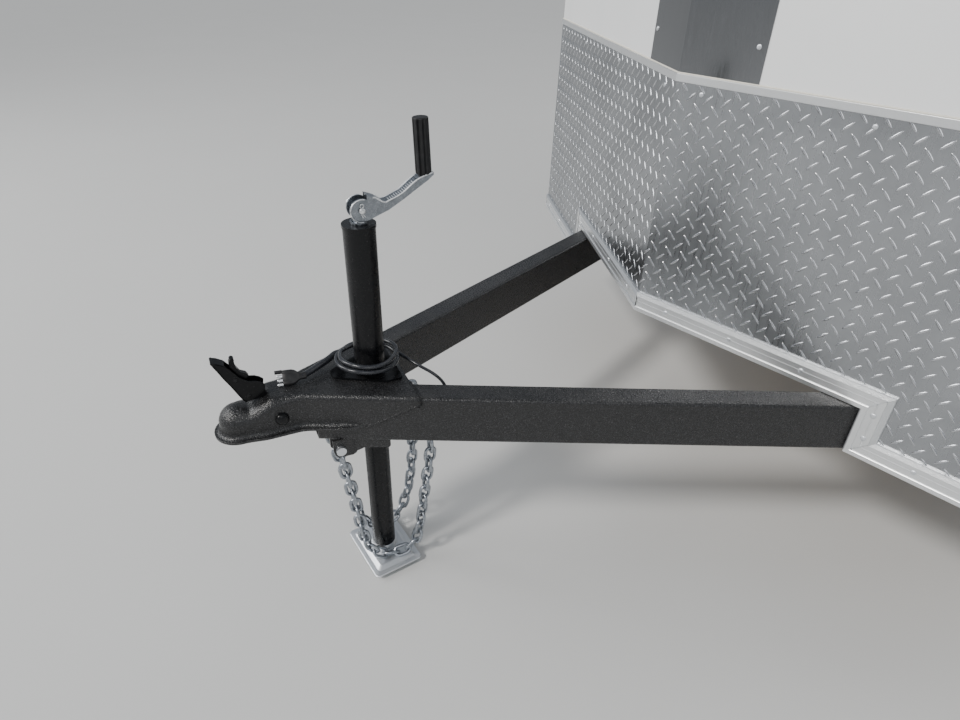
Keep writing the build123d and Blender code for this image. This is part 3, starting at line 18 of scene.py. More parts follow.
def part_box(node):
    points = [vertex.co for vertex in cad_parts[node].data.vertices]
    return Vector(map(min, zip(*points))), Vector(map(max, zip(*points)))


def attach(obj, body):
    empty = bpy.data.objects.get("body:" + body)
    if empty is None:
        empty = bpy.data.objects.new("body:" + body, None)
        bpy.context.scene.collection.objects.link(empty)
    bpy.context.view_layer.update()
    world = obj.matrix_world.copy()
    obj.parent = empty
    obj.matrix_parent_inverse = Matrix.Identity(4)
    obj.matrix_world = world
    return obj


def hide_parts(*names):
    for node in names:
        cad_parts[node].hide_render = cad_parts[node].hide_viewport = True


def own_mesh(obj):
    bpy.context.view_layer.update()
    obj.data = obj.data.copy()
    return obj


bl_info = {
    "name": "Enclosed cargo trailer",
    "version": (1, 0, 0),
    "blender": (4, 5, 0),
    "location": "View3D > Sidebar > Trailer",
    "description": "Dresses an enclosed cargo trailer with its finishes, trims, chains and wiring",
    "category": "Object",
}

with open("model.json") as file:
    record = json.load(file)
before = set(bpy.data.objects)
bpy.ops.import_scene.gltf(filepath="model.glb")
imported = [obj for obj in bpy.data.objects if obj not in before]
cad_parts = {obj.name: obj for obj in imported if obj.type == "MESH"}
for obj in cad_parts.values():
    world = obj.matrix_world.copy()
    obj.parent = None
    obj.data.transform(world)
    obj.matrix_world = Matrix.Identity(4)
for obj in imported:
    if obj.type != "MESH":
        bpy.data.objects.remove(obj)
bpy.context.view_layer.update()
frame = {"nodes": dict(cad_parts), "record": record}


def low(node):
    """Lowest corner of a node."""
    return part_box(node)[0]


def high(node):
    """Highest corner of a node."""
    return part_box(node)[1]


# Places read from the frame
HALF = high("nose_wall_left").x
Y_APEX = low("nose_wall_left").y
Y_CORNER = high("nose_wall_left").y
Y_REAR = high("rear_frame").y
Y_JACK = (low("jack_leg").y + high("jack_leg").y) / 2
Y_AXLE = (low("hub_left").y + high("hub_left").y) / 2
AXLE_HEIGHT = (low("hub_left").z + high("hub_left").z) / 2
FRAME_BOTTOM = low("frame_rail_left").z
FRAME_TOP = high("frame_rail_left").z
GUARD_TOP = high("stone_guard_left").z
WALL_TOP = high("nose_wall_left").z
COUPLER_TOP = high("coupler").z
COUPLER_END = high("coupler").y
NOSE_ANGLE = math.atan2(Y_CORNER - Y_APEX, HALF)
NOSE_RUN = HALF / math.cos(NOSE_ANGLE)

# Thickness of the guard's sheet, and the run over which the nose's fold dies away
GUARD_SHEET = 0.0016
FOLD = 0.004

# Angle of a tongue beam to the centreline, and where the outer faces of the two would meet on it
TONGUE_ANGLE = math.radians(25.0)
Y_MEET = Y_JACK - 0.2208

# Where the tongue beam's outer face meets the nose, along the face from its apex
BEAM_RUN = (Y_APEX - Y_MEET) * math.tan(TONGUE_ANGLE)
BEAM_RUN /= (1 - math.tan(NOSE_ANGLE) * math.tan(TONGUE_ANGLE)) * math.cos(NOSE_ANGLE)

# Camera of the photograph: its place, the directions of its own axes and its focal length in
# millimetres
CAMERA_PLACE = (1.02207, -2.43774, 1.21818)
CAMERA_RIGHT = (0.4244332, 0.90510442, 0.02534676)
CAMERA_UP = (-0.50449064, 0.2131412, 0.8366959)
CAMERA_BACK = (0.75189471, -0.36790872, 0.54708091)
CAMERA_LENS = 24.13
CAMERA_SENSOR = 36.0
CAMERA_REACH = 200.0


# Sizes and colours that a user may change


def length(label, text, default):
    """A size in metres as a property."""
    return FloatProperty(name=label, description=text, default=default, min=0.0, unit="LENGTH", precision=4)


def tint(label, text, default):
    """A colour as a property."""
    return FloatVectorProperty(name=label, description=text, default=default, subtype="COLOR",
                               min=0.0, max=1.0)


class TrailerSizes(PropertyGroup):
    """Sizes of the small pieces that the frame leaves out."""

    lug_length: length("Lug length", "Length of one lug of the tread plate", 0.027)
    lug_width: length("Lug width", "Width of a lug at its middle", 0.0052)
    lug_height: length("Lug height", "How far a lug stands off the plate", 0.0013)
    lug_across: length("Lug spacing across", "Distance between lugs of one hand, across", 0.0358)
    lug_down: length("Lug spacing down", "Distance between lugs of one hand, down", 0.036)
    trim_height: length("Trim height", "Height of the lower moulding", 0.047)
    cap_height: length("Cap height", "Height of the moulding along the guard's top", 0.014)
    screw_radius: length("Screw head", "Radius of the moulding's screw heads", 0.0052)
    screw_pitch: length("Screw spacing", "Distance between the moulding's screws", 0.152)
    chain_wire: length("Chain wire", "Thickness of the chain's wire", 0.0071)
    cord_diameter: length("Cord diameter", "Diameter of the trailer wiring's jacket", 0.0072)
    grip_radius: length("Grip radius", "Radius of the crank's grip at its foot", 0.0138)
    grip_flutes: IntProperty(name="Grip flutes", description="Flutes round the grip", default=9, min=3)
    tread_blocks: IntProperty(name="Tread blocks", description="Blocks round a tyre", default=60, min=12)


class TrailerColors(PropertyGroup):
    """Base colours of the finishes."""

    powder: tint("Powder coat", "Textured black of the frame", (0.006, 0.006, 0.0065))
    satin: tint("Satin black", "Smooth black of the jack", (0.004, 0.0042, 0.0050))
    skin: tint("Skin", "White of the walls", (0.83, 0.84, 0.84))
    plate: tint("Tread plate", "Aluminium of the guard", (0.36, 0.37, 0.385))
    lugs: tint("Lugs", "Rubbed aluminium of the lugs", (0.60, 0.61, 0.63))
    bright: tint("Bright trim", "Aluminium of the mouldings", (0.56, 0.57, 0.585))
    zinc: tint("Zinc", "Bright zinc plating", (0.43, 0.46, 0.50))
    rubber: tint("Rubber", "Tyres and seals", (0.018, 0.018, 0.019))
    plastic: tint("Black plastic", "Grip, plug and cord", (0.010, 0.010, 0.011))
    plywood: tint("Plywood", "Lining and floor", (0.52, 0.36, 0.20))
    silver: tint("Wheel silver", "Enamel of the wheels", (0.55, 0.56, 0.57))
    floor: tint("Floor", "Studio floor", (0.60, 0.60, 0.59))


# Surfaces: points on a grid, and their faces


def unit(vectors):
    """Each vector divided by its length."""
    vectors = np.asarray(vectors, float)
    return vectors / np.linalg.norm(vectors, axis=-1, keepdims=True)


def full_turn(count):
    """Equal steps of one full turn."""
    return np.linspace(0, 2 * np.pi, count, endpoint=False)


def level(outline, height):
    """Points with one more number, the same for all."""
    return np.column_stack([outline, np.full(len(outline), height)])


def beside(x, line):
    """Points in Y and Z, all at one place in X."""
    return np.column_stack([np.full(len(line), x), line])


def beam_face(y):
    """Where the tongue beam's outer face stands at a place along Y."""
    return (y - Y_MEET) * math.tan(TONGUE_ANGLE)


def surface(points, loop_rows=False, loop_columns=False):
    """Points and faces of a grid given as rows by columns by three; each face joins four neighbours."""
    rows, columns = points.shape[:2]
    i, j = np.meshgrid(np.arange(rows - (not loop_rows)), np.arange(columns - (not loop_columns)),
                       indexing="ij")
    down, across = (i + 1) % rows, (j + 1) % columns
    faces = np.stack([i * columns + j, i * columns + across, down * columns + across, down * columns + j], -1)
    return points.reshape(-1, 3), faces.reshape(-1, 4)


def joined(*parts):
    """Several surfaces as one: face numbers move on by the points before them."""
    counts = np.cumsum([0] + [len(points) for points, _ in parts[:-1]])
    return (np.concatenate([points for points, _ in parts]),
            np.concatenate([faces + count for (_, faces), count in zip(parts, counts)]))


def copies(part, places, frames=np.eye(3)):
    """A surface repeated: each point is a place plus its own X, Y and Z along that place's frame."""
    points, faces = part
    places = np.asarray(places, float)
    frames = np.broadcast_to(frames, (len(places), 3, 3))
    moved = np.einsum("pk,nkd->npd", points, frames) + places[:, None, :]
    numbers = faces[None] + (np.arange(len(places)) * len(points))[:, None, None]
    return moved.reshape(-1, 3), numbers.reshape(-1, 4)


def facing(normals, along):
    """Frames whose Z is the normal, X lies nearest to along and Y is square to both."""
    z = unit(normals)
    along = np.broadcast_to(np.asarray(along, float), z.shape)
    x = unit(along - (along * z).sum(-1, keepdims=True) * z)
    return np.stack([x, np.cross(z, x), z], axis=-2)


def mirrored(part):
    """A surface and its copy across the centreline: X changes its sign."""
    points, faces = part
    return joined(part, (points * [-1, 1, 1], faces[:, ::-1]))


def revolved(profile, sides):
    """Radius and height pairs turned once round Z in equal steps."""
    radius, height = np.asarray(profile, float).T[:, :, None]
    turn = full_turn(sides)
    points = np.stack([radius * np.cos(turn), radius * np.sin(turn), height + 0 * turn], -1)
    return surface(points, loop_columns=True)


def smooth_path(points, count):
    """A curve through the points: between two of them, a cubic whose slope at each is half the
    step between that point's neighbours."""
    points = np.asarray(points, float)
    ends = np.concatenate([[2 * points[0] - points[1]], points, [2 * points[-1] - points[-2]]])
    place = np.linspace(0, len(points) - 1, count)
    index = np.minimum(place.astype(int), len(points) - 2)
    t = (place - index)[:, None]
    a, b, c, d = (ends[index + step] for step in range(4))
    return 0.5 * (2 * b + (c - a) * t + (2 * a - 5 * b + 4 * c - d) * t ** 2
                  + (3 * b - a - 3 * c + d) * t ** 3)


def distance_run(path):
    """How far each point lies along the path from its start."""
    steps = np.linalg.norm(np.diff(path, axis=0), axis=1)
    return np.concatenate([[0], np.cumsum(steps)])


def closed_bar(rings):
    """Rings joined one after another, each end shut towards its ring's middle."""
    ends = [np.broadcast_to(ring.mean(0), ring.shape) for ring in (rings[0], rings[-1])]
    return surface(np.stack([ends[0], *rings, ends[1]]), loop_columns=True)


def tube(path, radius, sides=10, loop=False, up=(0, 0, 1)):
    """A round bar: circles square to the path, their radius given at each point."""
    path = np.asarray(path, float)
    tangent = np.roll(path, -1, 0) - np.roll(path, 1, 0) if loop else np.gradient(path, axis=0)
    frames = facing(tangent, up)
    circle = np.stack([np.cos(full_turn(sides)), np.sin(full_turn(sides))])
    radius = np.broadcast_to(radius, len(path))[:, None, None]
    rings = path[:, None] + radius * np.einsum("ks,nkd->nsd", circle, frames[:, :2])
    return surface(rings, True, True) if loop else closed_bar(rings)


def strip(lower, upper, start_x, end_x):
    """A bar between two lines in Y and Z, given behind the jack, and between two places in X."""
    lower, upper = (np.asarray(line, float) + (Y_JACK, 0) for line in (lower, upper))
    corners = [(start_x, lower), (end_x, lower), (end_x, upper), (start_x, upper)]
    return closed_bar(np.stack([beside(x, line) for x, line in corners], 1))


def rounded_rectangle(half_x, half_y, radius, steps=7):
    """Outline of a rectangle with round corners: each corner's centre plus a quarter turn."""
    turn = np.linspace(0, np.pi / 2, steps)
    turn = (turn[None] + np.arange(4)[:, None] * np.pi / 2).ravel()
    sign_x = np.repeat([1, -1, -1, 1], steps)
    sign_y = np.repeat([1, 1, -1, -1], steps)
    return np.stack([sign_x * (half_x - radius) + radius * np.cos(turn),
                     sign_y * (half_y - radius) + radius * np.sin(turn)], -1)


def on_nose(part):
    """A flat sheet's surface wrapped on the nose. The first number runs along the faces from the
    apex, positive to the left, the second is the height and the third the distance off the wall.
    A point stands that far off along the face's normal, drawn in to the middle plane at the fold."""
    points, faces = part
    across, height, out = points.T
    run = np.abs(across) - out * math.tan(NOSE_ANGLE) * np.exp(-np.abs(across) / FOLD)
    x = np.where(across < 0, -1.0, 1.0) * (run * math.cos(NOSE_ANGLE) + out * math.sin(NOSE_ANGLE))
    y = Y_APEX + run * math.sin(NOSE_ANGLE) - out * math.cos(NOSE_ANGLE)
    return np.stack([x, y, height], -1), faces


def moulding(path, profile, seat):
    """Straight bars of one profile along a path on the flat sheet, wrapped on the nose. The
    profile gives distance to the right of the path and height off the plate. At a corner both
    bars end on its mitre, the sum of the two normals over one plus their product."""
    path = np.asarray(path, float)
    profile = np.asarray(profile, float)
    ahead = unit(np.diff(path, axis=0))
    normal = np.stack([ahead[:, 1], -ahead[:, 0]], -1)
    before = np.concatenate([normal[:1], normal])
    after = np.concatenate([normal, normal[-1:]])
    mitre = (before + after) / (1 + (before * after).sum(-1, keepdims=True))
    rings = path[:, None] + mitre[:, None] * profile[None, :, :1]
    rings = np.concatenate([rings, np.broadcast_to(seat + profile[None, :, 1:], rings.shape[:2] + (1,))], -1)
    return on_nose(joined(*[closed_bar(pair) for pair in zip(rings, rings[1:])]))


def linked(name, data):
    """A new object of some data, in the scene."""
    made = bpy.data.objects.new(name, data)
    bpy.context.scene.collection.objects.link(made)
    return made


def piece(name, part, finish, replaces=(), body="chassis", sharp=40.0):
    """A mesh object of a surface: doubles merged, normals outward, riding on its body."""
    points, faces = part
    mesh = bpy.data.meshes.new(name)
    mesh.vertices.add(len(points))
    mesh.vertices.foreach_set("co", np.asarray(points, np.float32).ravel())
    mesh.loops.add(faces.size)
    mesh.loops.foreach_set("vertex_index", np.asarray(faces, np.int32).ravel())
    mesh.polygons.add(len(faces))
    mesh.polygons.foreach_set("loop_start", np.arange(0, faces.size, 4, dtype=np.int32))
    mesh.update(calc_edges=True)
    shape = bmesh.new()
    shape.from_mesh(mesh)
    bmesh.ops.remove_doubles(shape, verts=shape.verts, dist=1e-6)
    bmesh.ops.recalc_face_normals(shape, faces=shape.faces)
    shape.to_mesh(mesh)
    shape.free()
    mesh.polygons.foreach_set("use_smooth", np.ones(len(mesh.polygons), bool))
    mesh.set_sharp_from_angle(angle=math.radians(sharp))
    mesh.materials.append(material(finish))
    made = linked(name, mesh)
    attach(made, body)
    if replaces:
        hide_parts(*replaces)
    return made


def break_edges(holder, width):
    """Bevel an object's sharp edges."""
    bevel = holder.modifiers.new("edges", "BEVEL")
    bevel.width = width
    bevel.segments = 2
    bevel.limit_method = "ANGLE"
    bevel.angle_limit = math.radians(50.0)


def around_jack(part):
    """A surface made round Z, moved to the jack's axis."""
    return copies(part, [(0, Y_JACK, 0)])


def on_left(part, places):
    """Copies of a surface standing on a face that looks to the left, and their mirror images."""
    return mirrored(copies(part, places, facing([(1, 0, 0)], (0, 1, 0))))


# Finishes

EVEN = (1.0, 1.0, 1.0)

# Middle of the load space, which the linings face, the radii between which a tyre gets dusty, and
# how far inside the hub's face its plated parts begin
LOAD_CENTRE = (0.0, 0.6, 1.45)
DUSTY_RADII = (0.318, 0.340)
HUB_PLATED = 0.045


def scaled(color, factor):
    """A colour lighter or darker by a factor."""
    return tuple(min(part * factor, 1.0) for part in color)


class Finish:
    """A material whose colour, roughness and relief come from textures on Object coordinates."""

    def __init__(self, name, **sockets):
        self.material = bpy.data.materials.new(name)
        self.material.use_nodes = True
        self.tree = self.material.node_tree
        self.shader = self.tree.nodes["Principled BSDF"]
        for socket, value in sockets.items():
            self.shader.inputs[socket.replace("_", " ")].default_value = value
        source = self.tree.nodes.new("ShaderNodeTexCoord")
        self.place, self.normal = source.outputs["Object"], source.outputs["Normal"]

    def node(self, kind, inputs=(), **settings):
        """A node with its settings, its inputs given by name or number as values or sockets."""
        made = self.tree.nodes.new("ShaderNode" + kind)
        for key, value in settings.items():
            setattr(made, key, value)
        for key, value in dict(inputs).items():
            self.feed(made.inputs[key], value)
        return made

    def feed(self, socket, value):
        """Set a socket to a value or link it to another."""
        if isinstance(value, bpy.types.NodeSocket):
            self.tree.links.new(value, socket)
        else:
            socket.default_value = (*value, 1.0) if socket.type == "RGBA" else value

    def spot(self, size, stretch=EVEN, **others):
        """Inputs of a texture on Object coordinates, stretched along each axis, of that size."""
        mapping = self.node("Mapping", {"Vector": self.place, "Scale": stretch})
        return {"Vector": mapping.outputs["Vector"], "Scale": 1.0 / size, **others}

    def noise(self, size, detail=3.0, stretch=EVEN, rough=0.55):
        """Cloudy noise whose patches are about that size in metres."""
        return self.node("TexNoise", self.spot(size, stretch, Detail=detail, Roughness=rough)).outputs["Fac"]

    def cells(self, size):
        """Distance in cells of about that size in metres."""
        return self.node("TexVoronoi", self.spot(size)).outputs["Distance"]

    def layers(self, size):
        """Level bands, each about that high."""
        return self.node("TexWave", self.spot(size / 0.314, Detail=1.0), bands_direction="Z").outputs["Fac"]

    def spread(self, source, start, end, least=0.0, most=1.0):
        """A source moved from one range to another, and held at its ends."""
        return self.node("MapRange", {"Value": source, "From Min": start, "From Max": end,
                                      "To Min": least, "To Max": most}).outputs["Result"]

    def cloud(self, size, detail=3.0, start=0.3, end=0.7, least=0.0, most=1.0, stretch=EVEN):
        """Noise moved from one range to another, and held at its ends."""
        return self.spread(self.noise(size, detail, stretch), start, end, least, most)

    def math(self, operation, first, second=0.5):
        """Two numbers joined by an operation."""
        return self.node("Math", {0: first, 1: second}, operation=operation).outputs[0]

    def mix(self, factor, first, second):
        """Two colours or sockets mixed by a factor."""
        return self.node("Mix", {"Factor": factor, 6: first, 7: second}, data_type="RGBA").outputs[2]

    def shades(self, factor, color, first, second):
        """A colour at two strengths, mixed by a factor."""
        return self.mix(factor, scaled(color, first), scaled(color, second))

    def over(self, base, spots, share, color):
        """A colour laid over another in spots, as strongly as the share says."""
        return self.mix(self.math("MULTIPLY", spots, share), base, color)

    def axis(self, which, source):
        """One part of a place or a normal."""
        return self.node("SeparateXYZ", {"Vector": source}).outputs[which]

    def outward(self, centre):
        """One where the surface faces away from a centre, and nothing where it faces it."""
        away = self.node("VectorMath", {0: self.place, 1: centre}, operation="SUBTRACT").outputs["Vector"]
        dot = self.node("VectorMath", {0: away, 1: self.normal}, operation="DOT_PRODUCT")
        return self.math("GREATER_THAN", dot.outputs["Value"], 0.0)

    def dress(self, color, roughness, *reliefs):
        """The finished material. Its bumps lie one over the other, and each rises by its depth in
        metres where its height is one."""
        normal = None
        for height, depth in reliefs:
            inputs = {"Height": height, "Distance": depth, "Strength": 1.0}
            if normal is not None:
                inputs["Normal"] = normal
            normal = self.node("Bump", inputs).outputs["Normal"]
        for socket, value in (("Base Color", color), ("Roughness", roughness), ("Normal", normal)):
            if value is not None:
                self.feed(self.shader.inputs[socket], value)
        return self.material


# Mottled finishes. In order: the colour; its two tones, as factors of it or as colours; size, detail
# and range of the patches of the second tone; size, detail, least and most of the roughness; size,
# detail and depth of the relief, which is of cells where it has no detail; other sockets
METAL = {"Metallic": 1.0}
MOTTLED = {
    # Smooth black of the jack with faint handling marks
    "satin_black": ("satin", (1.0, (0.011, 0.011, 0.012)), (0.02, 5.0, 0.55, 0.8, 0.0, 1.0, (1, 1, 0.3)),
                    (0.012, 4.0, 0.22, 0.36), (0.0012, 2.0, 0.00004),
                    {"Specular_IOR_Level": 0.24, "Coat_Weight": 0.06, "Coat_Roughness": 0.12}),
    # Black of the latch, rubbed through to lighter specks
    "latch_black": ("satin", (0.8, (0.050, 0.050, 0.052)), (0.006, 5.0, 0.66, 0.78),
                    (0.008, 4.0, 0.26, 0.46), (0.0014, 2.0, 0.00006), {"Specular_IOR_Level": 0.22}),
    # Crowns of the lugs, brighter than the plate
    "plate_lugs": ("lugs", (0.82, 1.0), (0.02, 3.0, 0.0, 1.0), (0.004, 3.0, 0.16, 0.30), (), METAL),
    # Polished sheet of the nose strip, darkened to mid grey as a painted dark reflection, with soft rolling
    # waves
    "nose_metal": ("plate", (0.5, 0.78), (0.3, 3.0, 0.0, 1.0, 0.0, 1.0, (1, 1, 0.3)),
                   (0.003, 3.0, 0.12, 0.22, (1, 1, 0.04)), (0.25, 2.0, 0.0012), METAL),
    # Bright zinc of the crank, made darker than the other zinc as painted shade, with soft tonal patches
    "crank_zinc": ("zinc", (0.50, 0.72), (0.008, 4.0, 0.35, 0.68), (0.005, 4.0, 0.22, 0.40),
                   (0.0012, 2.0, 0.00003), METAL),
    # Zinc of the chains, a little rougher, darker in its low spots
    "chain_zinc": ("zinc", (0.62, 1.12), (0.004, 4.0, 0.35, 0.7), (0.002, 3.0, 0.24, 0.44),
                   (0.0016, 3.0, 0.00009), METAL),
    # Moulded black plastic with a fine leather grain
    "black_plastic": ("plastic", (1.0, (0.026, 0.026, 0.027)), (0.012, 5.0, 0.5, 0.8),
                      (0.006, 3.0, 0.38, 0.55), (0.0007, None, 0.00006), {"Specular_IOR_Level": 0.35}),
    # Glossy black jacket with faint drawing marks
    "cord_jacket": ("plastic", ((0.014, 0.015, 0.018), (0.028, 0.030, 0.036)), (0.02, 3.0, 0.0, 1.0),
                    (0.005, 4.0, 0.16, 0.32), (0.0018, 2.0, 0.00006), {"Specular_IOR_Level": 0.55}),
    # Silvery plated pins
    "plug_metal": ("silver", ((0.80, 0.81, 0.82), (0.90, 0.91, 0.92)), (0.002, 2.0, 0.0, 1.0),
                   (0.001, 3.0, 0.15, 0.3), (), {"Metallic": 0.7}),
    # Matt black rubber, a little dusty
    "rubber": ("rubber", (1.0, (0.045, 0.043, 0.040)), (0.02, 4.0, 0.5, 0.75), (0.004, 3.0, 0.5, 0.7),
               (0.0008, 2.0, 0.00005), {"Specular_IOR_Level": 0.4}),
    # Thin black paint of the axle and springs, with road dust
    "chassis_paint": ("satin", (1.2, (0.050, 0.046, 0.041)), (0.05, 5.0, 0.45, 0.72),
                      (0.01, 3.0, 0.38, 0.65), (0.003, 3.0, 0.00018), {}),
    # White moulded plastic of the vents, a touch yellow
    "vent_plastic": ("skin", ((0.72, 0.72, 0.68), (0.79, 0.79, 0.77)), (0.05, 3.0, 0.0, 1.0),
                     (0.01, 3.0, 0.34, 0.48), (0.0012, None, 0.00005), {}),
    # Cream sealant drawn along a joint
    "sealant": ("skin", ((0.70, 0.66, 0.56), (0.78, 0.76, 0.69)), (0.01, 3.0, 0.0, 1.0),
                (0.005, 3.0, 0.42, 0.6), (0.006, 3.0, 0.0004), {}),
    # Pale floor with a barely visible unevenness
    "studio_floor": ("floor", (0.98, 1.02), (0.8, 4.0, 0.0, 1.0), (0.3, 3.0, 0.7, 0.8), (), {}),
}


def mottled(name, colors):
    """A finish of two tones mixed in cloudy patches, its gloss and relief from finer noise."""
    kind, tones, patches, gloss, relief, sockets = MOTTLED[name]
    color = getattr(colors, kind)
    tones = [scaled(color, tone) if isinstance(tone, float) else tone for tone in tones]
    finish = Finish(name, **sockets)
    reliefs = []
    if relief:
        size, detail, depth = relief
        reliefs.append((finish.noise(size, detail) if detail else finish.cells(size), depth))
    return finish.dress(finish.mix(finish.cloud(*patches), *tones),
                        finish.cloud(*gloss[:2], 0.3, 0.7, *gloss[2:]), *reliefs)


def powder_coat(colors):
    """Wrinkled black powder coat with fine glints, dusty on its upper faces."""
    finish = Finish("powder_coat", Specular_IOR_Level=0.56)
    upper = finish.spread(finish.axis("Z", finish.normal), 0.55, 1.0)
    dust = finish.math("MULTIPLY", upper, finish.cloud(0.045, 4.0, 0.42, 0.68))
    fleck = finish.cloud(0.0024, 2.0, 0.55, 0.72)
    base = finish.mix(fleck, colors.powder, (0.085, 0.085, 0.090))
    finish.feed(finish.shader.inputs["Metallic"], finish.math("MULTIPLY", fleck, 0.6))
    return finish.dress(finish.over(base, dust, 0.30, (0.050, 0.049, 0.047)),
                        finish.cloud(0.0030, 3.0, 0.35, 0.65, 0.20, 0.36),
                        (finish.noise(0.0030, 2.0), 0.0013), (finish.noise(0.0011, 1.0), 0.00025))


def wood(finish, color):
    """Colour of plywood: long grain along Y, darker streaks and soft patches."""
    streaks = finish.spread(finish.noise(0.012, 5.0, (1.0, 0.06, 1.0), 0.65), 0.35, 0.7)
    base = finish.shades(streaks, color, 0.72, 1.12)
    return finish.mix(finish.cloud(0.22, 3.0, 0.4, 0.7), base, scaled(color, 0.85))


def white_skin(colors):
    """Gloss white sheet outside and plywood lining inside, told apart by which way a face looks."""
    finish = Finish("white_skin")
    outside = finish.outward(LOAD_CENTRE)
    sheet = finish.shades(finish.cloud(0.35, 3.0, 0.35, 0.7), colors.skin, 1.0, 0.955)
    return finish.dress(finish.mix(outside, wood(finish, colors.plywood), sheet),
                        finish.spread(outside, 0.0, 1.0, 0.62, 0.24), (finish.noise(0.28, 2.0), 0.0011))


def roof_skin(colors):
    """Mill finish sheet with a soft waviness, and plywood below."""
    finish = Finish("roof_skin")
    outside = finish.outward(LOAD_CENTRE)
    finish.feed(finish.shader.inputs["Metallic"], outside)
    return finish.dress(finish.mix(outside, wood(finish, colors.plywood), colors.bright),
                        finish.cloud(0.05, 4.0, 0.3, 0.7, 0.30, 0.46), (finish.noise(0.30, 2.0), 0.0016))


def tread_plate(colors):
    """Rolled aluminium between the lugs: cloudy, with fine rolling lines."""
    finish = Finish("tread_plate", Metallic=1.0)
    lines = finish.noise(0.004, 4.0, (1, 1, 0.05))
    return finish.dress(finish.shades(finish.cloud(0.16, 4.0), colors.plate, 0.86, 1.14),
                        finish.spread(lines, 0.3, 0.7, 0.24, 0.36),
                        (finish.noise(0.05, 2.0), 0.0005), (lines, 0.00003))


def bright_trim(colors):
    """Extruded aluminium with long drawing lines and small dull marks."""
    finish = Finish("bright_trim", Metallic=1.0)
    lines = finish.noise(0.0022, 3.0, (0.05, 0.05, 1.0))
    marks = finish.cloud(0.03, 4.0, 0.55, 0.75)
    base = finish.shades(lines, colors.bright, 0.92, 1.06)
    return finish.dress(finish.over(base, marks, 0.35, scaled(colors.bright, 0.72)),
                        finish.spread(lines, 0.3, 0.7, 0.20, 0.34), (lines, 0.00004))


def zinc_plate(colors):
    """Bright zinc with a cool cast, small tonal patches and duller scuffs."""
    finish = Finish("zinc_plate", Metallic=1.0)
    base = finish.shades(finish.cloud(0.009, 4.0, 0.35, 0.68), colors.zinc, 0.80, 1.10)
    scuffs = finish.cloud(0.03, 3.0, 0.6, 0.78)
    return finish.dress(finish.over(base, scuffs, 0.5, (0.62, 0.58, 0.48)),
                        finish.cloud(0.005, 4.0, 0.3, 0.7, 0.20, 0.40), (finish.noise(0.0012, 2.0), 0.00003))


def tyre_rubber(colors):
    """Tyre rubber: dark sidewall, greyer tread from road dust, which grows with the radius."""
    finish = Finish("tyre_rubber", Specular_IOR_Level=0.38)
    y = finish.math("SUBTRACT", finish.axis("Y", finish.place), Y_AXLE)
    z = finish.math("SUBTRACT", finish.axis("Z", finish.place), AXLE_HEIGHT)
    square = finish.math("ADD", finish.math("MULTIPLY", y, y), finish.math("MULTIPLY", z, z))
    tread = finish.spread(finish.math("SQRT", square), *DUSTY_RADII)
    dust = finish.math("MULTIPLY", tread, finish.cloud(0.03, 4.0, 0.3, 0.7, 0.3, 1.0))
    return finish.dress(finish.mix(dust, colors.rubber, (0.060, 0.057, 0.052)),
                        finish.cloud(0.006, 3.0, 0.3, 0.7, 0.5, 0.72), (finish.noise(0.0010, 2.0), 0.00006))


def plywood(colors):
    """Bare plywood of the floor, with its plies along the edges."""
    finish = Finish("plywood")
    steep = finish.math("ABSOLUTE", finish.axis("Z", finish.normal))
    edge = finish.math("LESS_THAN", steep, 0.5)
    dark = scaled(colors.plywood, 0.4)
    return finish.dress(finish.over(wood(finish, colors.plywood), edge, finish.layers(0.0027), dark),
                        finish.cloud(0.02, 4.0, 0.3, 0.7, 0.5, 0.72, (1, 0.1, 1)),
                        (finish.noise(0.004, 4.0, (1, 0.06, 1)), 0.00025))


def cast_hub(colors):
    """Dark casting of the hubs, with plated studs, nuts and cap beyond the flange."""
    finish = Finish("cast_hub", Metallic=1.0)
    out = finish.math("ABSOLUTE", finish.axis("X", finish.place))
    beyond = finish.math("GREATER_THAN", out, high("hub_left").x - HUB_PLATED)
    grain = finish.cloud(0.006, 4.0)
    casting = finish.mix(grain, (0.055, 0.055, 0.056), (0.13, 0.13, 0.13))
    plated = finish.shades(grain, colors.zinc, 0.8, 1.05)
    return finish.dress(finish.mix(beyond, casting, plated), finish.spread(beyond, 0.0, 1.0, 0.55, 0.25),
                        (finish.noise(0.002, 2.0), 0.0001))


def wheel_silver(colors):
    """Silver enamel with fine metallic flake."""
    finish = Finish("wheel_silver", Metallic=0.55, Coat_Weight=0.4, Coat_Roughness=0.12)
    base = finish.shades(finish.noise(0.0007, 1.0), colors.silver, 0.88, 1.1)
    dust = finish.cloud(0.06, 4.0, 0.5, 0.75)
    return finish.dress(finish.over(base, dust, 0.4, (0.34, 0.32, 0.29)),
                        finish.cloud(0.01, 3.0, 0.3, 0.7, 0.28, 0.44), (finish.noise(0.004, 2.0), 0.00005))


def lens(name, color):
    """A moulded lens: ribs inside clear plastic, deeper in colour between them."""
    finish = Finish(name, Coat_Weight=0.6, Coat_Roughness=0.05)
    ribs = finish.layers(0.004)
    return finish.dress(finish.shades(ribs, color, 0.55, 1.15), finish.spread(ribs, 0.0, 1.0, 0.10, 0.22),
                        (ribs, 0.0003))


# Red of the tail and header lamps, and amber of the side lamps
LENSES = {"red_lens": (0.52, 0.012, 0.010), "amber_lens": (0.80, 0.26, 0.015)}
FINISHES = {maker.__name__: maker for maker in (
    powder_coat, white_skin, roof_skin, tread_plate, bright_trim, zinc_plate, tyre_rubber, plywood,
    cast_hub, wheel_silver)}


def material(name):
    """The finish of that name, made on its first use."""
    colors = bpy.context.scene.trailer_colors
    if name in bpy.data.materials:
        return bpy.data.materials[name]
    if name in LENSES:
        return lens(name, LENSES[name])
    return mottled(name, colors) if name in MOTTLED else FINISHES[name](colors)


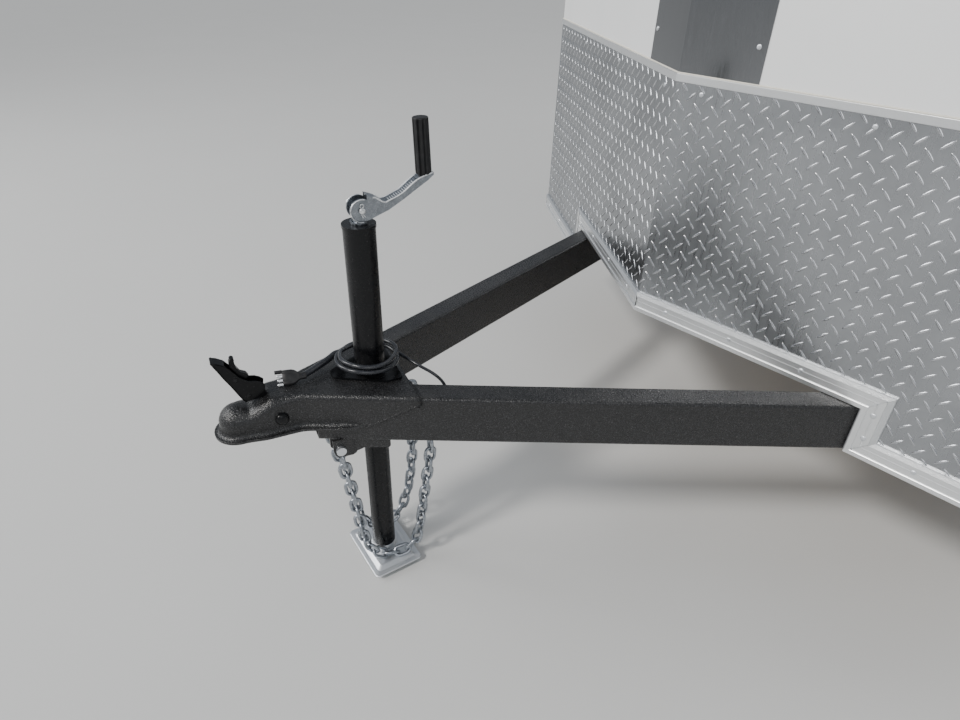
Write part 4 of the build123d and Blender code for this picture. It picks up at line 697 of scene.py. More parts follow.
# Finish of each material slot of the frame, and of the nodes that differ from their slot
SLOT_FINISH = {
    "frame_black": "powder_coat", "jack_black": "satin_black", "skin_white": "white_skin",
    "roof_skin": "roof_skin", "guard_plate": "tread_plate", "bright_trim": "bright_trim",
    "zinc_plate": "zinc_plate", "grip_black": "black_plastic", "plug_black": "black_plastic",
    "cord_black": "cord_jacket", "gland_rubber": "rubber", "tyre_black": "tyre_rubber",
    "plywood": "plywood", "axle_black": "chassis_paint", "hub_steel": "cast_hub",
    "wheel_silver": "wheel_silver", "lens_red": "red_lens", "lens_amber": "amber_lens",
    "vent_white": "vent_plastic",
}
# The crank's darker zinc is painted shade
# The nose strip's darker finish is a painted reflection
NODE_FINISH = {"nose_strip": "nose_metal", "jack_crank": "crank_zinc", "safety_chain_left": "chain_zinc",
               "safety_chain_right": "chain_zinc"}

# Nodes of flat faces whose edges are broken, with the width of the bevel
BROKEN_EDGES = {"chain_bracket": 0.0012, "jack_crank": 0.0006}


class TRAILER_OT_camera(Operator):
    """Set up the camera of the photograph"""

    bl_idname = "trailer.camera"
    bl_label = "Camera"

    def execute(self, context):
        camera = bpy.data.cameras.new("camera")
        camera.lens = CAMERA_LENS
        camera.sensor_width = CAMERA_SENSOR
        camera.clip_end = CAMERA_REACH
        turn = Matrix((CAMERA_RIGHT, CAMERA_UP, CAMERA_BACK)).transposed().to_4x4()
        holder = linked("camera", camera)
        holder.matrix_world = Matrix.Translation(CAMERA_PLACE) @ turn
        context.scene.camera = holder
        return {"FINISHED"}


# The wiring's route: beside the centreline, behind the jack, above the frame's top
CORD_TAIL = ((0.102, 0.119, -0.032), (0.092, 0.1235, -0.032), (0.083, 0.124, -0.022), (0.077, 0.117, -0.007),
             (0.068, 0.104, 0.006), (0.054, 0.089, 0.014), (0.036, 0.075, 0.020), (0.015, 0.066, 0.022))
CORD_LEAD = ((-0.0400, -0.0570, 0.0272), (-0.0345, -0.0660, 0.0250), (-0.0270, -0.0800, 0.0225),
             (-0.0195, -0.0950, 0.0205), (-0.0112, -0.1110, 0.0188), (-0.0062, -0.1220, 0.0176),
             (-0.0045, -0.1300, 0.0172))
COIL_CENTRE = (0.0, -0.004)
COIL_POINTS = 40

# Along the coil in degrees of its turn: the cord's distance from its centre and height there, in
# millimetres
COIL_TURN = (93, 180, 262, 292, 327, 357, 382, 406, 450, 510, 575, 620, 673, 699, 718, 741, 772, 806,
             840, 900, 945)
COIL_RADIUS = (61.0, 59.0, 59.5, 61.5, 61.5, 60.5, 58.5, 57.5, 58.0, 57.0, 54.0, 52.0, 54.5, 57.0, 58.0,
               57.0, 56.0, 57.0, 57.5, 57.5, 59.0)
COIL_HEIGHT = (23.0, 26.0, 33.0, 35.5, 36.0, 32.5, 29.5, 27.5, 25.5, 26.5, 32.0, 39.0, 44.5, 43.5, 42.0,
               42.5, 43.5, 41.5, 38.0, 32.5, 29.0)

# Thickness of the tail, the coil, the lead and its end, as factors of the cord's diameter
TAIL_THICK, COIL_THICK, LEAD_THICK, LEAD_END_THICK = 0.85, 1.20, 1.78, 1.60
PLUG_PLACE = (-0.0088, -0.1572, 0.0172)
PLUG_TURN = math.radians(-9.0)
PLUG_TILT = math.radians(47.0)
PLUG_PINS = 4
PLUG_PITCH = 0.0080

# Powers that square the plug's oval across and up, and how deep the hollows between its lobes are
PLUG_SQUARE = (0.55, 0.45)
PLUG_LOBES = 0.13

# Rings of the plug's body in millimetres: distance along it, half width and half height
PLUG_RINGS = ((-7.0, 0, 0), (-6.6, 13.2, 3.9), (-5.5, 14.6, 4.7), (4, 14.8, 4.9), (10, 14.6, 4.9),
              (15, 13.2, 4.8), (18.5, 11.0, 4.8), (21, 8.4, 4.9), (22, 7.4, 5.0), (24, 7.4, 5.4),
              (25, 6.4, 4.9), (27, 6.9, 5.5), (28, 6.0, 5.1), (30, 6.5, 5.8), (31, 5.8, 5.4),
              (33, 6.2, 6.0), (36, 5.8, 5.7))

# A bare pin and the one in its shroud: radius as a factor, and distance along. Their feet stand
# inside the body
PIN_FOOT = -0.0065
PIN_RADIUS = 0.0025
PIN = ((0, 0), (1, 0), (1, 0.0088), (0.8, 0.0098), (0.4, 0.0103), (0, 0.0104))
SHROUD_RADIUS = 0.0036
SHROUD = ((0, 0), (1, 0), (1, 0.0126), (0.88, 0.0134), (0.62, 0.0134), (0.58, 0.0126), (0.58, 0.006),
          (0, 0.006))


def plug_frame():
    """Directions of the plug's own axes, its pins pointing along minus Y and its left edge down."""
    c, s = math.cos(PLUG_TURN), math.sin(PLUG_TURN)
    lean, rise = math.cos(PLUG_TILT), math.sin(PLUG_TILT)
    return np.array([(c * lean, s * lean, -rise), (-s, c, 0), (c * rise, s * rise, lean)])


def plug_body():
    """Flat moulded body: rings of a squared oval, x and z being powers of a turn's cosine and sine,
    their height waved in four lobes, drawn in behind to the strain relief with its three ribs."""
    along, half_width, half_height = np.array(PLUG_RINGS, float).T[:, :, None] / 1000
    turn = full_turn(56)
    across, up = (np.sign(wave) * np.abs(wave) ** power
                  for wave, power in zip((np.cos(turn), np.sin(turn)), PLUG_SQUARE))
    lobes = 1 - PLUG_LOBES * np.cos(across * PLUG_PINS * np.pi) * (half_width / half_width.max()) ** 4
    height = half_height * up * lobes / (1 + PLUG_LOBES)
    return closed_bar(np.stack([half_width * across, along + 0 * turn, height], -1))


def pin_row(radius, profile, picked):
    """Turned pins side by side, along minus Y, at the picked places of the row."""
    places = [((index - (PLUG_PINS - 1) / 2) * PLUG_PITCH, PIN_FOOT, 0) for index in picked]
    frames = np.array([(1, 0, 0), (0, 0, 1), (0, -1, 0)], float)
    return copies(revolved([(radius * r, z) for r, z in profile], 16), places, frames)


class TRAILER_OT_wiring(Operator):
    """Lay the trailer wiring: tail, loose coil round the jack, lead and flat plug"""

    bl_idname = "trailer.wiring"
    bl_label = "Wiring"

    def execute(self, context):
        diameter = context.scene.trailer_sizes.cord_diameter
        degrees = np.linspace(COIL_TURN[0], COIL_TURN[-1], COIL_POINTS)
        turn = np.radians(degrees)
        radius = np.interp(degrees, COIL_TURN, COIL_RADIUS) / 1000
        coil = np.stack([COIL_CENTRE[0] + radius * np.cos(turn), COIL_CENTRE[1] + radius * np.sin(turn),
                         np.interp(degrees, COIL_TURN, COIL_HEIGHT) / 1000], -1)
        route = np.concatenate([CORD_TAIL, coil, CORD_LEAD]) + (0, Y_JACK, FRAME_TOP)
        line = bpy.data.curves.new("wiring_cord", "CURVE")
        line.dimensions = "3D"
        line.bevel_depth = diameter / 2
        line.bevel_resolution = 5
        line.use_fill_caps = True
        spline = line.splines.new("NURBS")
        spline.points.add(len(route) - 1)
        spline.points.foreach_set("co", np.column_stack([route, np.ones(len(route))]).ravel())
        thick = np.repeat([TAIL_THICK, COIL_THICK, LEAD_THICK, LEAD_END_THICK],
                          [len(CORD_TAIL), COIL_POINTS, len(CORD_LEAD) - 2, 2])
        spline.points.foreach_set("radius", thick)
        spline.order_u = 3
        spline.use_endpoint_u = True
        spline.resolution_u = 10
        line.materials.append(material("cord_jacket"))
        cord = linked("wiring_cord", line)
        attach(cord, "chassis")
        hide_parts("wiring_lead", "wiring_coil", "wiring_tail")
        place = np.array([PLUG_PLACE]) + (0, Y_JACK, FRAME_TOP)
        body = joined(plug_body(), pin_row(SHROUD_RADIUS, SHROUD, (0,)))
        plug = piece("wiring_plug_body", copies(body, place, plug_frame()), "black_plastic",
                     ["wiring_plug"])
        pins = piece("wiring_plug_pins", copies(pin_row(PIN_RADIUS, PIN, (1, 2, 3)), place, plug_frame()),
                     "plug_metal")
        return {"FINISHED"}


class TRAILER_OT_finishes(Operator):
    """Give every node of the frame its finish, and break the edges of the flat ones"""

    bl_idname = "trailer.finishes"
    bl_label = "Frame finishes"

    def execute(self, context):
        for part in frame["record"]["subparts"]:
            node = part["node"]
            mesh = frame["nodes"][node].data
            mesh.materials.clear()
            mesh.materials.append(material(NODE_FINISH.get(node) or SLOT_FINISH[part["material_slot"]]))
        for node, width in BROKEN_EDGES.items():
            holder = frame["nodes"][node]
            holder.modifiers.new("weld", "WELD").merge_threshold = 1e-5
            break_edges(holder, width)
        return {"FINISHED"}


# Coupler

# Dome over the ball: how far ahead of the jack, radius and height of its centre
BALL_AHEAD = 0.254
DOME_RADIUS = 0.034
DOME_CENTRE = FRAME_TOP - 0.0449

# Pressing: thickness, half width, where ahead of the jack it gets that wide and where its top
# begins to fall, and how steeply that falls
COUPLER_PLATE = 0.0048
COUPLER_HALF = 0.040
COUPLER_FULL = 0.205
SHOULDER = 0.193
SHOULDER_FALL = 0.53

# Lip along the lower edge: width and radius of its bend
LIP = 0.011
LIP_ROUND = 0.0090

# Width of a tongue beam and what the pressing stands off it
BEAM_WIDTH = 0.0508
BEAM_CLEAR = 0.005

# Stations: how many in the fan round the ball, then the first and last place behind the jack of
# each run and how many it has
FAN_STATIONS = 16
STATIONS = ((-BALL_AHEAD, -0.176, 26), (-0.170, -0.140, 7), (-0.130, COUPLER_END - Y_JACK, 18))

# Behind the jack: radius of the top edge, height of the side's lower edge, how far the lip stands out
EDGE_PLACE = (-0.254, -0.240, -0.224, -0.182, -0.145)
EDGE_RADIUS = (DOME_RADIUS, 0.027, 0.019, 0.018, 0.0095)
SKIRT_PLACE = (-0.330, -0.150, -0.050, -0.027, 0.046, 0.080)
SKIRT_HEIGHT = (0.450, 0.450, 0.453, 0.457, 0.501, 0.508)
LIP_PLACE = (-0.078, -0.046)
LIP_OUT = (LIP, 0.0004)

# Rivets of the clamp's pin and of the latch: place behind the jack and height, then the radius
# and height of a head
CLAMP_PIN = (-0.181, 0.477)
CLAMP_PIN_HEAD = (0.0125, 0.0092)
LATCH_RIVETS = ((-0.2444, 0.5608), (-0.2280, 0.5231))
LATCH_RIVET_HEAD = (0.0044, 0.0018)

# Latch: half width over its cheeks, their thickness and bevel, half width of the trigger and of
# the base, and the round bars of its tip and of the trigger's pad
LATCH_HALF = 0.0110
LATCH_SHEET = 0.0026
LATCH_BEVEL = 0.0007
TRIGGER_HALF = 0.0050
LATCH_BASE_HALF = 0.0080
LATCH_TIP = (-0.2762, 0.6018)
LATCH_TIP_RADIUS = 0.0024
TRIGGER_PAD = (-0.2437, 0.5985)
TRIGGER_PAD_HALF = 0.0062
TRIGGER_PAD_RADIUS = 0.0040

# Weld beads to the beams: radius on top and along the side, how much it ripples and how often
TOP_WELD = 0.0030
SIDE_WELD = 0.0016
WELD_RIPPLE = 0.16
WELD_PITCH = 0.0045

# Cheek of the latch from its foot to its tip, behind the jack and height: lower edge, upper edge
LATCH_LOWER = ((-0.2105, 0.5195), (-0.2232, 0.5145), (-0.2330, 0.5108), (-0.2385, 0.5145),
               (-0.2454, 0.5291), (-0.2540, 0.5491), (-0.2627, 0.5667), (-0.2708, 0.5858),
               (-0.2760, 0.5965), (-0.2777, 0.6010))
LATCH_UPPER = ((-0.1985, 0.5304), (-0.1970, 0.5390), (-0.2030, 0.5450), (-0.2114, 0.5498),
               (-0.2247, 0.5525), (-0.2383, 0.5658), (-0.2435, 0.5744), (-0.2570, 0.5935),
               (-0.2690, 0.6010), (-0.2755, 0.6030))
TRIGGER_LOWER = ((-0.2300, 0.5540), (-0.2405, 0.5675), (-0.2455, 0.5790), (-0.2495, 0.5860),
                 (-0.2492, 0.5950), (-0.2470, 0.5990))
TRIGGER_UPPER = ((-0.2210, 0.5600), (-0.2245, 0.5665), (-0.2335, 0.5715), (-0.2392, 0.5830),
                 (-0.2405, 0.5910), (-0.2400, 0.5985))
LATCH_BASE = (((-0.236, 0.5080), (-0.198, 0.5120)), ((-0.2350, 0.5150), (-0.1985, 0.5330)))


def coupler_sections():
    """Stations of the coupler: first a fan of half turns round the ball, then square cuts back
    along the tongue. For each, its centre's place, direction, half width, top height, corner
    radius, lower edge and lip."""
    fan = np.linspace(0, np.pi / 2, FAN_STATIONS, endpoint=False)
    back = np.concatenate([np.linspace(*run) for run in STATIONS])
    y = np.concatenate([np.full(len(fan), -BALL_AHEAD), back])
    direction = np.column_stack([np.concatenate([np.sin(fan), np.ones(len(back))]),
                                 np.concatenate([-np.cos(fan), np.zeros(len(back))])])
    swell = np.clip((y + BALL_AHEAD) / (BALL_AHEAD - COUPLER_FULL), 0, 1)
    neck = DOME_RADIUS + (COUPLER_HALF - DOME_RADIUS) * swell * swell * (3 - 2 * swell)
    beams = beam_face(Y_JACK + y) + BEAM_CLEAR / math.cos(TONGUE_ANGLE)
    width = softer_max(neck, beams, 0.0025)
    ball = DOME_CENTRE + np.sqrt(np.maximum(DOME_RADIUS ** 2 - (y + BALL_AHEAD) ** 2, 0))
    past = softer_max(-y - SHOULDER, np.zeros(len(y)), 0.002)
    top = np.minimum(softer_max(ball, COUPLER_TOP - past * SHOULDER_FALL, 0.002), COUPLER_TOP)
    top[:len(fan) + 1] = DOME_CENTRE + DOME_RADIUS
    round_off = np.interp(y, EDGE_PLACE, EDGE_RADIUS)
    edge = np.interp(y, SKIRT_PLACE, SKIRT_HEIGHT)
    lip = np.interp(y, LIP_PLACE, LIP_OUT)
    return y, direction, width, top, round_off, edge, lip


def softer_max(first, second, blend):
    """The larger of two, rounded where they cross: blend times the log of the sum of exponents."""
    larger = np.maximum(first, second)
    return larger + blend * np.log1p(np.exp(-np.abs(first - second) / blend)) * (
        1 - np.clip(np.abs(first - second) / (4 * blend), 0, 1))


def coupler_shell():
    """Half of the pressing, each section running flat from its middle, round the corner, down the
    side and out along the lip, and the other half mirrored."""
    y, direction, width, top, corner, edge, lip = (np.asarray(a)[..., None] for a in coupler_sections())
    direction = direction[..., 0]
    quarter = np.linspace(0, np.pi / 2, 10)
    bend = np.minimum(lip, LIP_ROUND)
    flat = np.linspace(0, 1, 7)[:-1]
    down = np.linspace(0, 1, 8)[1:]
    foot = quarter[1:]
    tip = np.linspace(0, 1, 3)[1:]
    out = np.concatenate([(width - corner) * flat, width - corner + corner * np.sin(quarter),
                          width + 0 * down, width + bend * (1 - np.cos(foot)),
                          width + bend + (lip - bend) * tip], 1)
    up = np.concatenate([top + 0 * flat, top - corner * (1 - np.cos(quarter)),
                         (top - corner) * (1 - down) + (edge + bend) * down,
                         edge + bend - bend * np.sin(foot), edge + 0 * tip], 1)
    points = np.stack([direction[:, :1] * out, Y_JACK + y + direction[:, 1:] * out, up], -1)
    return mirrored(surface(points))


def cross_bar(place, half, radius, sides):
    """A round bar from side to side, at a place behind the jack and a height."""
    return tube([(x, Y_JACK + place[0], place[1]) for x in (-half, 0, half)], radius, sides)


def latch():
    """The pressed lever: a cheek on each side, a web along its lower edge that folds over the tip,
    and the trigger between the cheeks."""
    lower, upper = np.array(LATCH_LOWER), np.array(LATCH_UPPER)
    cheek = strip(lower, upper, LATCH_HALF - LATCH_SHEET, LATCH_HALF)
    share = np.minimum(LATCH_SHEET / np.linalg.norm(upper - lower, axis=1), 1)[:, None]
    web = strip(lower[2:], (lower + (upper - lower) * share)[2:], -LATCH_HALF, LATCH_HALF)
    tip = strip(upper[-3:] - (0.0, LATCH_SHEET), upper[-3:] + (0.0, 0.0002), -LATCH_HALF, LATCH_HALF)
    nose = cross_bar(LATCH_TIP, LATCH_HALF, LATCH_TIP_RADIUS, 12)
    trigger = strip(TRIGGER_LOWER, TRIGGER_UPPER, -TRIGGER_HALF, TRIGGER_HALF)
    pad = cross_bar(TRIGGER_PAD, TRIGGER_PAD_HALF, TRIGGER_PAD_RADIUS, 14)
    base = strip(*LATCH_BASE, -LATCH_BASE_HALF, LATCH_BASE_HALF)
    return joined(mirrored(cheek), web, tip, nose, trigger, pad, base)


def bead(path, radius, sides=8):
    """A weld bead: a bar along the path whose radius ripples with the distance run."""
    return tube(path, radius * (1 + WELD_RIPPLE * np.sin(distance_run(path) * 2 * np.pi / WELD_PITCH)), sides)


def straight(start, end, step=0.0011):
    """Points along a straight run, a step apart."""
    start, end = np.asarray(start, float), np.asarray(end, float)
    count = max(int(np.linalg.norm(end - start) / step), 2)
    return start + (end - start) * np.linspace(0, 1, count)[:, None]


def rivet_head(radius, height):
    """A domed head: a low spherical cap on a short straight edge, its foot below the surface."""
    turn = np.linspace(0, np.pi / 2, 7)
    cap = np.column_stack([radius * np.cos(turn), 0.25 * height + 0.75 * height * np.sin(turn)])
    return revolved(np.concatenate([[(0, -0.001), (radius, -0.001)], cap]), 24)


class TRAILER_OT_coupler(Operator):
    """Press the coupler's shell, with its rivet heads and weld beads"""

    bl_idname = "trailer.coupler"
    bl_label = "Coupler"

    def execute(self, context):
        shell = piece("coupler_shell", coupler_shell(), "powder_coat", ["coupler"])
        wall = shell.modifiers.new("wall", "SOLIDIFY")
        wall.thickness = COUPLER_PLATE
        wall.offset = -1.0
        pin = COUPLER_HALF - 0.0002, Y_JACK + CLAMP_PIN[0], CLAMP_PIN[1]
        heads = on_left(rivet_head(*CLAMP_PIN_HEAD), [pin])
        piece("coupler_rivets", heads, "satin_black")
        lever = piece("latch_lever", latch(), "latch_black", ["coupler_latch"])
        break_edges(lever, LATCH_BEVEL)
        rivets = [(LATCH_HALF - 0.0004, Y_JACK + y, z) for y, z in LATCH_RIVETS]
        dimples = on_left(rivet_head(*LATCH_RIVET_HEAD), rivets)
        piece("latch_rivets", dimples, "satin_black")
        outer = beam_face(COUPLER_END)
        inner = outer - BEAM_WIDTH / math.cos(TONGUE_ANGLE)
        back, top = COUPLER_END + 0.0012, FRAME_TOP + 0.001
        seam = [bead(straight((inner, back, top), (outer, back, top)), TOP_WELD)]
        y = np.minimum(SKIRT_PLACE[1:5], COUPLER_END - Y_JACK)
        beams = beam_face(Y_JACK + y) + 0.0012
        corners = np.column_stack([beams, Y_JACK + y, np.interp(y, SKIRT_PLACE, SKIRT_HEIGHT)])
        seam += [bead(straight(start, end), SIDE_WELD) for start, end in zip(corners, corners[1:])]
        piece("tongue_welds", mirrored(joined(*seam)), "powder_coat")
        return {"FINISHED"}


# Jack

# Crank's pivot and the foot of its grip, behind the jack and height
CRANK_PIVOT = (0.004, 0.8365)
GRIP_FOOT = (0.119, 0.8842)
GRIP_LEAN = math.radians(2.5)
GRIP_LENGTH = 0.092

# Flutes of the grip: depth, and the least cosine of the flute count times the turn that cuts one
FLUTE_DEPTH = 0.0026
FLUTE_FROM = 0.30

FOOT_TURN = math.radians(8.0)
FOOT_HALF = (0.079, 0.058)
JACK_TUBE = 0.0286
LEG = (high("jack_leg").x - low("jack_leg").x) / 2
CRANK_SIDE = high("jack_crank").x

# Foot plate from its flat on the ground over the rim to the raised middle: how far in, and height
FOOT_STEPS = ((0.0300, 0.0), (0.0215, 0.0), (0.0195, 0.0006), (0.0120, 0.0094), (0.0100, 0.0102),
              (0.0012, 0.0106), (0.0, 0.0118), (0.0, 0.0132), (0.0006, 0.0144), (0.0020, 0.0150),
              (0.0100, 0.0152), (0.0118, 0.0158), (0.0190, 0.0216), (0.0208, 0.0224), (0.0300, 0.0226))

# Boss round the leg's foot: distance off the leg and height
BOSS = ((-0.0006, 0.0216), (0.0036, 0.0216), (0.0034, 0.0290), (0.0022, 0.0360), (0.0012, 0.0372),
        (-0.0006, 0.0374), (-0.0006, 0.0216))

# Sleeve of the jack's tube under the tongue: radius, and how far below its top
SLEEVE = ((0.0290, 0), (0.0338, 0), (0.0338, 0.0120), (0.0330, 0.0132), (0.0300, 0.0132),
          (0.0290, 0.0120), (0.0290, 0))

# Crank's arm, behind the jack and height: floor of its recess, and its upper edge. Then how far beside the
# middle that edge runs, the ears' radius, and the radius of the bright bars on both, which paint highlights
# on its rims
CRANK_FLOOR = ((0, 0.055, 0.8460), (0, 0.076, 0.8550), (0, 0.101, 0.8719))
CRANK_EDGE = ((0.024, 0.8565), (0.030, 0.8545), (0.043, 0.8462), (0.052, 0.8480), (0.076, 0.8582),
              (0.104, 0.8780), (0.131, 0.8868))
CRANK_RIM = 0.0112
EAR_ROUND = 0.0196
EDGE_HIGHLIGHT_RIM = 0.0013
EAR_HIGHLIGHT_RIM = 0.0010

# Ridges across the recess: spacing, half length and radius
RIDGE_PITCH = 0.0042
RIDGE_HALF = 0.0088
RIDGE_RADIUS = 0.0009

# Head on the pivot: radius and height
PIVOT_HEAD = (0.0052, 0.0022)

# Weld beads round the leg's foot and the tube's flange: radius, how much it ripples and how often
FOOT_WELD = (0.0022, 0.15, 34)
FLANGE_WELD = (0.0034, 0.12, 40)

# Split pin through the pivot: radius of its wire, half width and half height of its eye, which
# stands that far up, and points of a leg as distance out, behind, apart and up
COTTER_WIRE = 0.0009
COTTER_EYE = (0.0030, 0.0034)
COTTER_EYE_UP = 0.0085
COTTER_LEG = ((0, 0, 0.0014, 0.006), (0, 0, 0.0012, -0.005), (0.0014, 0.003, 0.0022, -0.0115))

# Lower edges of the chain bracket's outer ears and of their flanges, behind the jack and height
EAR_LINE = ((-0.1010, 0.3900), (-0.0990, 0.3800), (-0.0930, 0.3725), (-0.0650, 0.3705),
            (-0.0580, 0.3740), (-0.0540, 0.3800))
FLANGE_LINE = ((-0.0600, 0.3800), (-0.0540, 0.3815), (-0.0430, 0.3885), (0.0, 0.3905), (0.0030, 0.3950))


def grip():
    """Fluted grip: the radius is that of a slight taper less a rounded flute wherever the cosine
    of the flute count times the turn nears one, fading out at both ends, under a domed top."""
    sizes = bpy.context.scene.trailer_sizes
    share = np.concatenate([[0.0, 0.0, 0.012, 0.04], np.linspace(0.08, 0.955, 22),
                            [0.97, 0.98, 0.988, 0.995, 1.0, 1.0]])
    taper = sizes.grip_radius * (1 - 0.02 * share)
    ends = np.interp(share, (0, 0.012, 0.04), (0.93, 0.985, 1.0))
    dome = np.sqrt(np.clip(1 - ((share - 0.975) / 0.025).clip(0) ** 2.6, 0, 1))
    taper = taper * ends * (0.80 + 0.20 * dome)
    taper[0], taper[-1] = 0, 0
    fade = np.interp(share, (0.0, 0.01, 0.965, 0.985), (0.6, 1, 1, 0))
    turn = full_turn(96)
    flute = np.clip(np.cos(sizes.grip_flutes * turn) - FLUTE_FROM, 0, 1) / (1 - FLUTE_FROM)
    radius = taper[:, None] - FLUTE_DEPTH * fade[:, None] * flute ** 0.7 * (taper[:, None] > 0)
    height = np.repeat(share[:, None] * GRIP_LENGTH, len(turn), 1)
    points = np.stack([radius * np.cos(turn), radius * np.sin(turn), height], -1)
    axis = np.array([(1, 0, 0), (0, math.cos(GRIP_LEAN), math.sin(GRIP_LEAN)),
                     (0, -math.sin(GRIP_LEAN), math.cos(GRIP_LEAN))])
    return copies(surface(points, loop_columns=True), [(0, Y_JACK + GRIP_FOOT[0], GRIP_FOOT[1])], axis)


def foot():
    """Pressed foot plate: round-cornered outlines drawn out step by step from its flat on the
    ground to a rim that stands clear of it, over the rim's edge and up to the raised middle."""
    rings = []
    for inset, height in FOOT_STEPS:
        corner = max(0.010 - inset * 0.2, 0.004)
        rings.append(level(rounded_rectangle(FOOT_HALF[0] - inset, FOOT_HALF[1] - inset, corner), height))
    c, s = math.cos(FOOT_TURN), math.sin(FOOT_TURN)
    return copies(closed_bar(rings), [(0, Y_JACK, 0)], np.array([(c, s, 0), (-s, c, 0), (0, 0, 1)]))


def crank_ridges():
    """Low bars across the recess of the crank's arm, a step apart along its floor."""
    floor = np.array(CRANK_FLOOR) + (0, Y_JACK, 0)
    run = distance_run(floor)
    steps = np.arange(0, run[-1], RIDGE_PITCH)
    places = np.column_stack([np.interp(steps, run, floor[:, part]) for part in range(3)])
    return copies(tube([(-RIDGE_HALF, 0, 0), (0, 0, 0), (RIDGE_HALF, 0, 0)], RIDGE_RADIUS, 8), places)


def crank_pin():
    """The pivot's head on the left ear, and the split pin through its end: an eye and two legs."""
    y, z = Y_JACK + CRANK_PIVOT[0], CRANK_PIVOT[1]
    outer = CRANK_SIDE - 0.0020
    head = copies(rivet_head(*PIVOT_HEAD), [(CRANK_SIDE - 0.0006, y, z)], facing([(1, 0, 0)], (0, 1, 0)))
    turn = np.linspace(0.5, 2 * np.pi - 0.5, 16)
    eye = beside(outer, np.column_stack([y + COTTER_EYE[0] * np.sin(turn),
                                         z + COTTER_EYE_UP + COTTER_EYE[1] * np.cos(turn + np.pi)]))
    legs = [smooth_path([(outer + out, y + behind + side * apart, z + up)
                         for out, behind, apart, up in COTTER_LEG], 12) for side in (-1, 1)]
    return joined(head, *[tube(path, COTTER_WIRE, 8) for path in (eye, *legs)])


def crank_rims():
    """Bars along each upper edge of the crank's arm and round each ear, which stand as painted highlights on
    its rims.
    """
    path = smooth_path(beside(CRANK_RIM, CRANK_EDGE), 60) + (0, Y_JACK, 0)
    turn = np.radians(np.linspace(75, 275, 40))
    y, z = Y_JACK + CRANK_PIVOT[0], CRANK_PIVOT[1]
    ear = beside(CRANK_SIDE - 0.0016, np.column_stack([y + EAR_ROUND * np.cos(turn),
                                                       z + EAR_ROUND * np.sin(turn)]))
    return mirrored(joined(tube(path, EDGE_HIGHLIGHT_RIM, 8), tube(ear, EAR_HIGHLIGHT_RIM, 8)))


def under_tongue(line, rise, start_x, end_x):
    """A strip from a line up to the frame's underside, and a little way into it."""
    lower = np.array(line)
    return strip(lower, level(lower[:, 0], FRAME_BOTTOM + rise), start_x, end_x)


def bracket_ears():
    """The outer ears in front of the chains, square to the bolt, and the flange that runs back
    from each along its beam, a little inside the beam's outer face."""
    points, faces = under_tongue(FLANGE_LINE, 0.0010, -0.0125, -0.0080)
    points[:, 0] += beam_face(points[:, 1])
    return mirrored(joined(under_tongue(EAR_LINE, 0.0030, 0.0618, 0.0660), (points, faces)))


def ring_weld(distance, height, radius, ripple, ripples):
    """A weld bead round the jack, its radius rippling with the turn."""
    turn = full_turn(160)
    circle = level(np.column_stack([distance * np.cos(turn), distance * np.sin(turn)]), height)
    return around_jack(tube(circle, radius * (1 + ripple * np.sin(turn * ripples)), 8, loop=True))


class TRAILER_OT_jack(Operator):
    """Finish the jack: grip, crank ridges, cotter, pressed foot and weld beads"""

    bl_idname = "trailer.jack"
    bl_label = "Jack"

    def execute(self, context):
        piece("crank_grip", grip(), "black_plastic", ["jack_grip"])
        piece("crank_ridges", crank_ridges(), "zinc_plate")
        piece("crank_pin", crank_pin(), "bright_trim")
        # Bright bars along the crank's edges, in a lighter metal than the arm: painted highlights
        piece("crank_rims", crank_rims(), "bright_trim")
        piece("bracket_ears", bracket_ears(), "powder_coat")
        piece("foot_plate", foot(), "zinc_plate", ["jack_foot"], "jack_leg")
        boss = around_jack(revolved([(LEG + off, z) for off, z in BOSS], 96))
        piece("foot_boss", boss, "zinc_plate", body="jack_leg")
        foot_weld = ring_weld(LEG + 0.0040, 0.0234, *FOOT_WELD)
        piece("foot_weld", foot_weld, "zinc_plate", body="jack_leg")
        under = FRAME_BOTTOM - 0.006
        sleeve = around_jack(revolved([(radius, under - down) for radius, down in SLEEVE], 96))
        piece("jack_sleeve", sleeve, "satin_black")
        flange_weld = ring_weld(JACK_TUBE + 0.001, COUPLER_TOP + 0.0058, *FLANGE_WELD)
        piece("flange_weld", flange_weld, "satin_black")
        return {"FINISHED"}


# Chains

# A link of the frame's chains: length, thickness of its wire and width
LINK_LENGTH = 0.044
LINK_WIRE_CAD = 0.0082
LINK_WIDTH = 0.0286

# Height of the bolt that the chains hang on, and how far behind the jack the hooks hold
CHAIN_TOP = 0.4053
HOOK_EDGE = 0.099


def solids_of(node):
    """Points of each separate solid of a node. Points at one place share a number, and every
    number falls to the lowest of its face until none changes."""
    mesh = frame["nodes"][node].data
    points = np.empty(len(mesh.vertices) * 3, np.float32)
    mesh.vertices.foreach_get("co", points)
    points = points.reshape(-1, 3)
    corners = np.empty(len(mesh.loops), np.int32)
    mesh.loops.foreach_get("vertex_index", corners)
    places, same = np.unique(np.round(points, 6), axis=0, return_inverse=True)
    faces = same.ravel()[corners].reshape(-1, 3)
    group = np.arange(len(places))
    while True:
        lowest = group[faces].min(1)
        fallen = group.copy()
        np.minimum.at(fallen, faces.ravel(), np.repeat(lowest, 3))
        fallen = fallen[fallen]
        if np.array_equal(fallen, group):
            break
        group = fallen
    return [places[group == number] for number in np.unique(group)]


def link_frame(points):
    """Middle and own axes of a link from its points: the box's middle along the directions in
    which they spread most, less and least."""
    middle = points.mean(0)
    axes = np.linalg.svd(points - middle, full_matrices=False)[2]
    spread = (points - middle) @ axes.T
    middle = middle + ((spread.max(0) + spread.min(0)) / 2) @ axes
    axes[2] = np.cross(axes[0], axes[1])
    return middle, axes


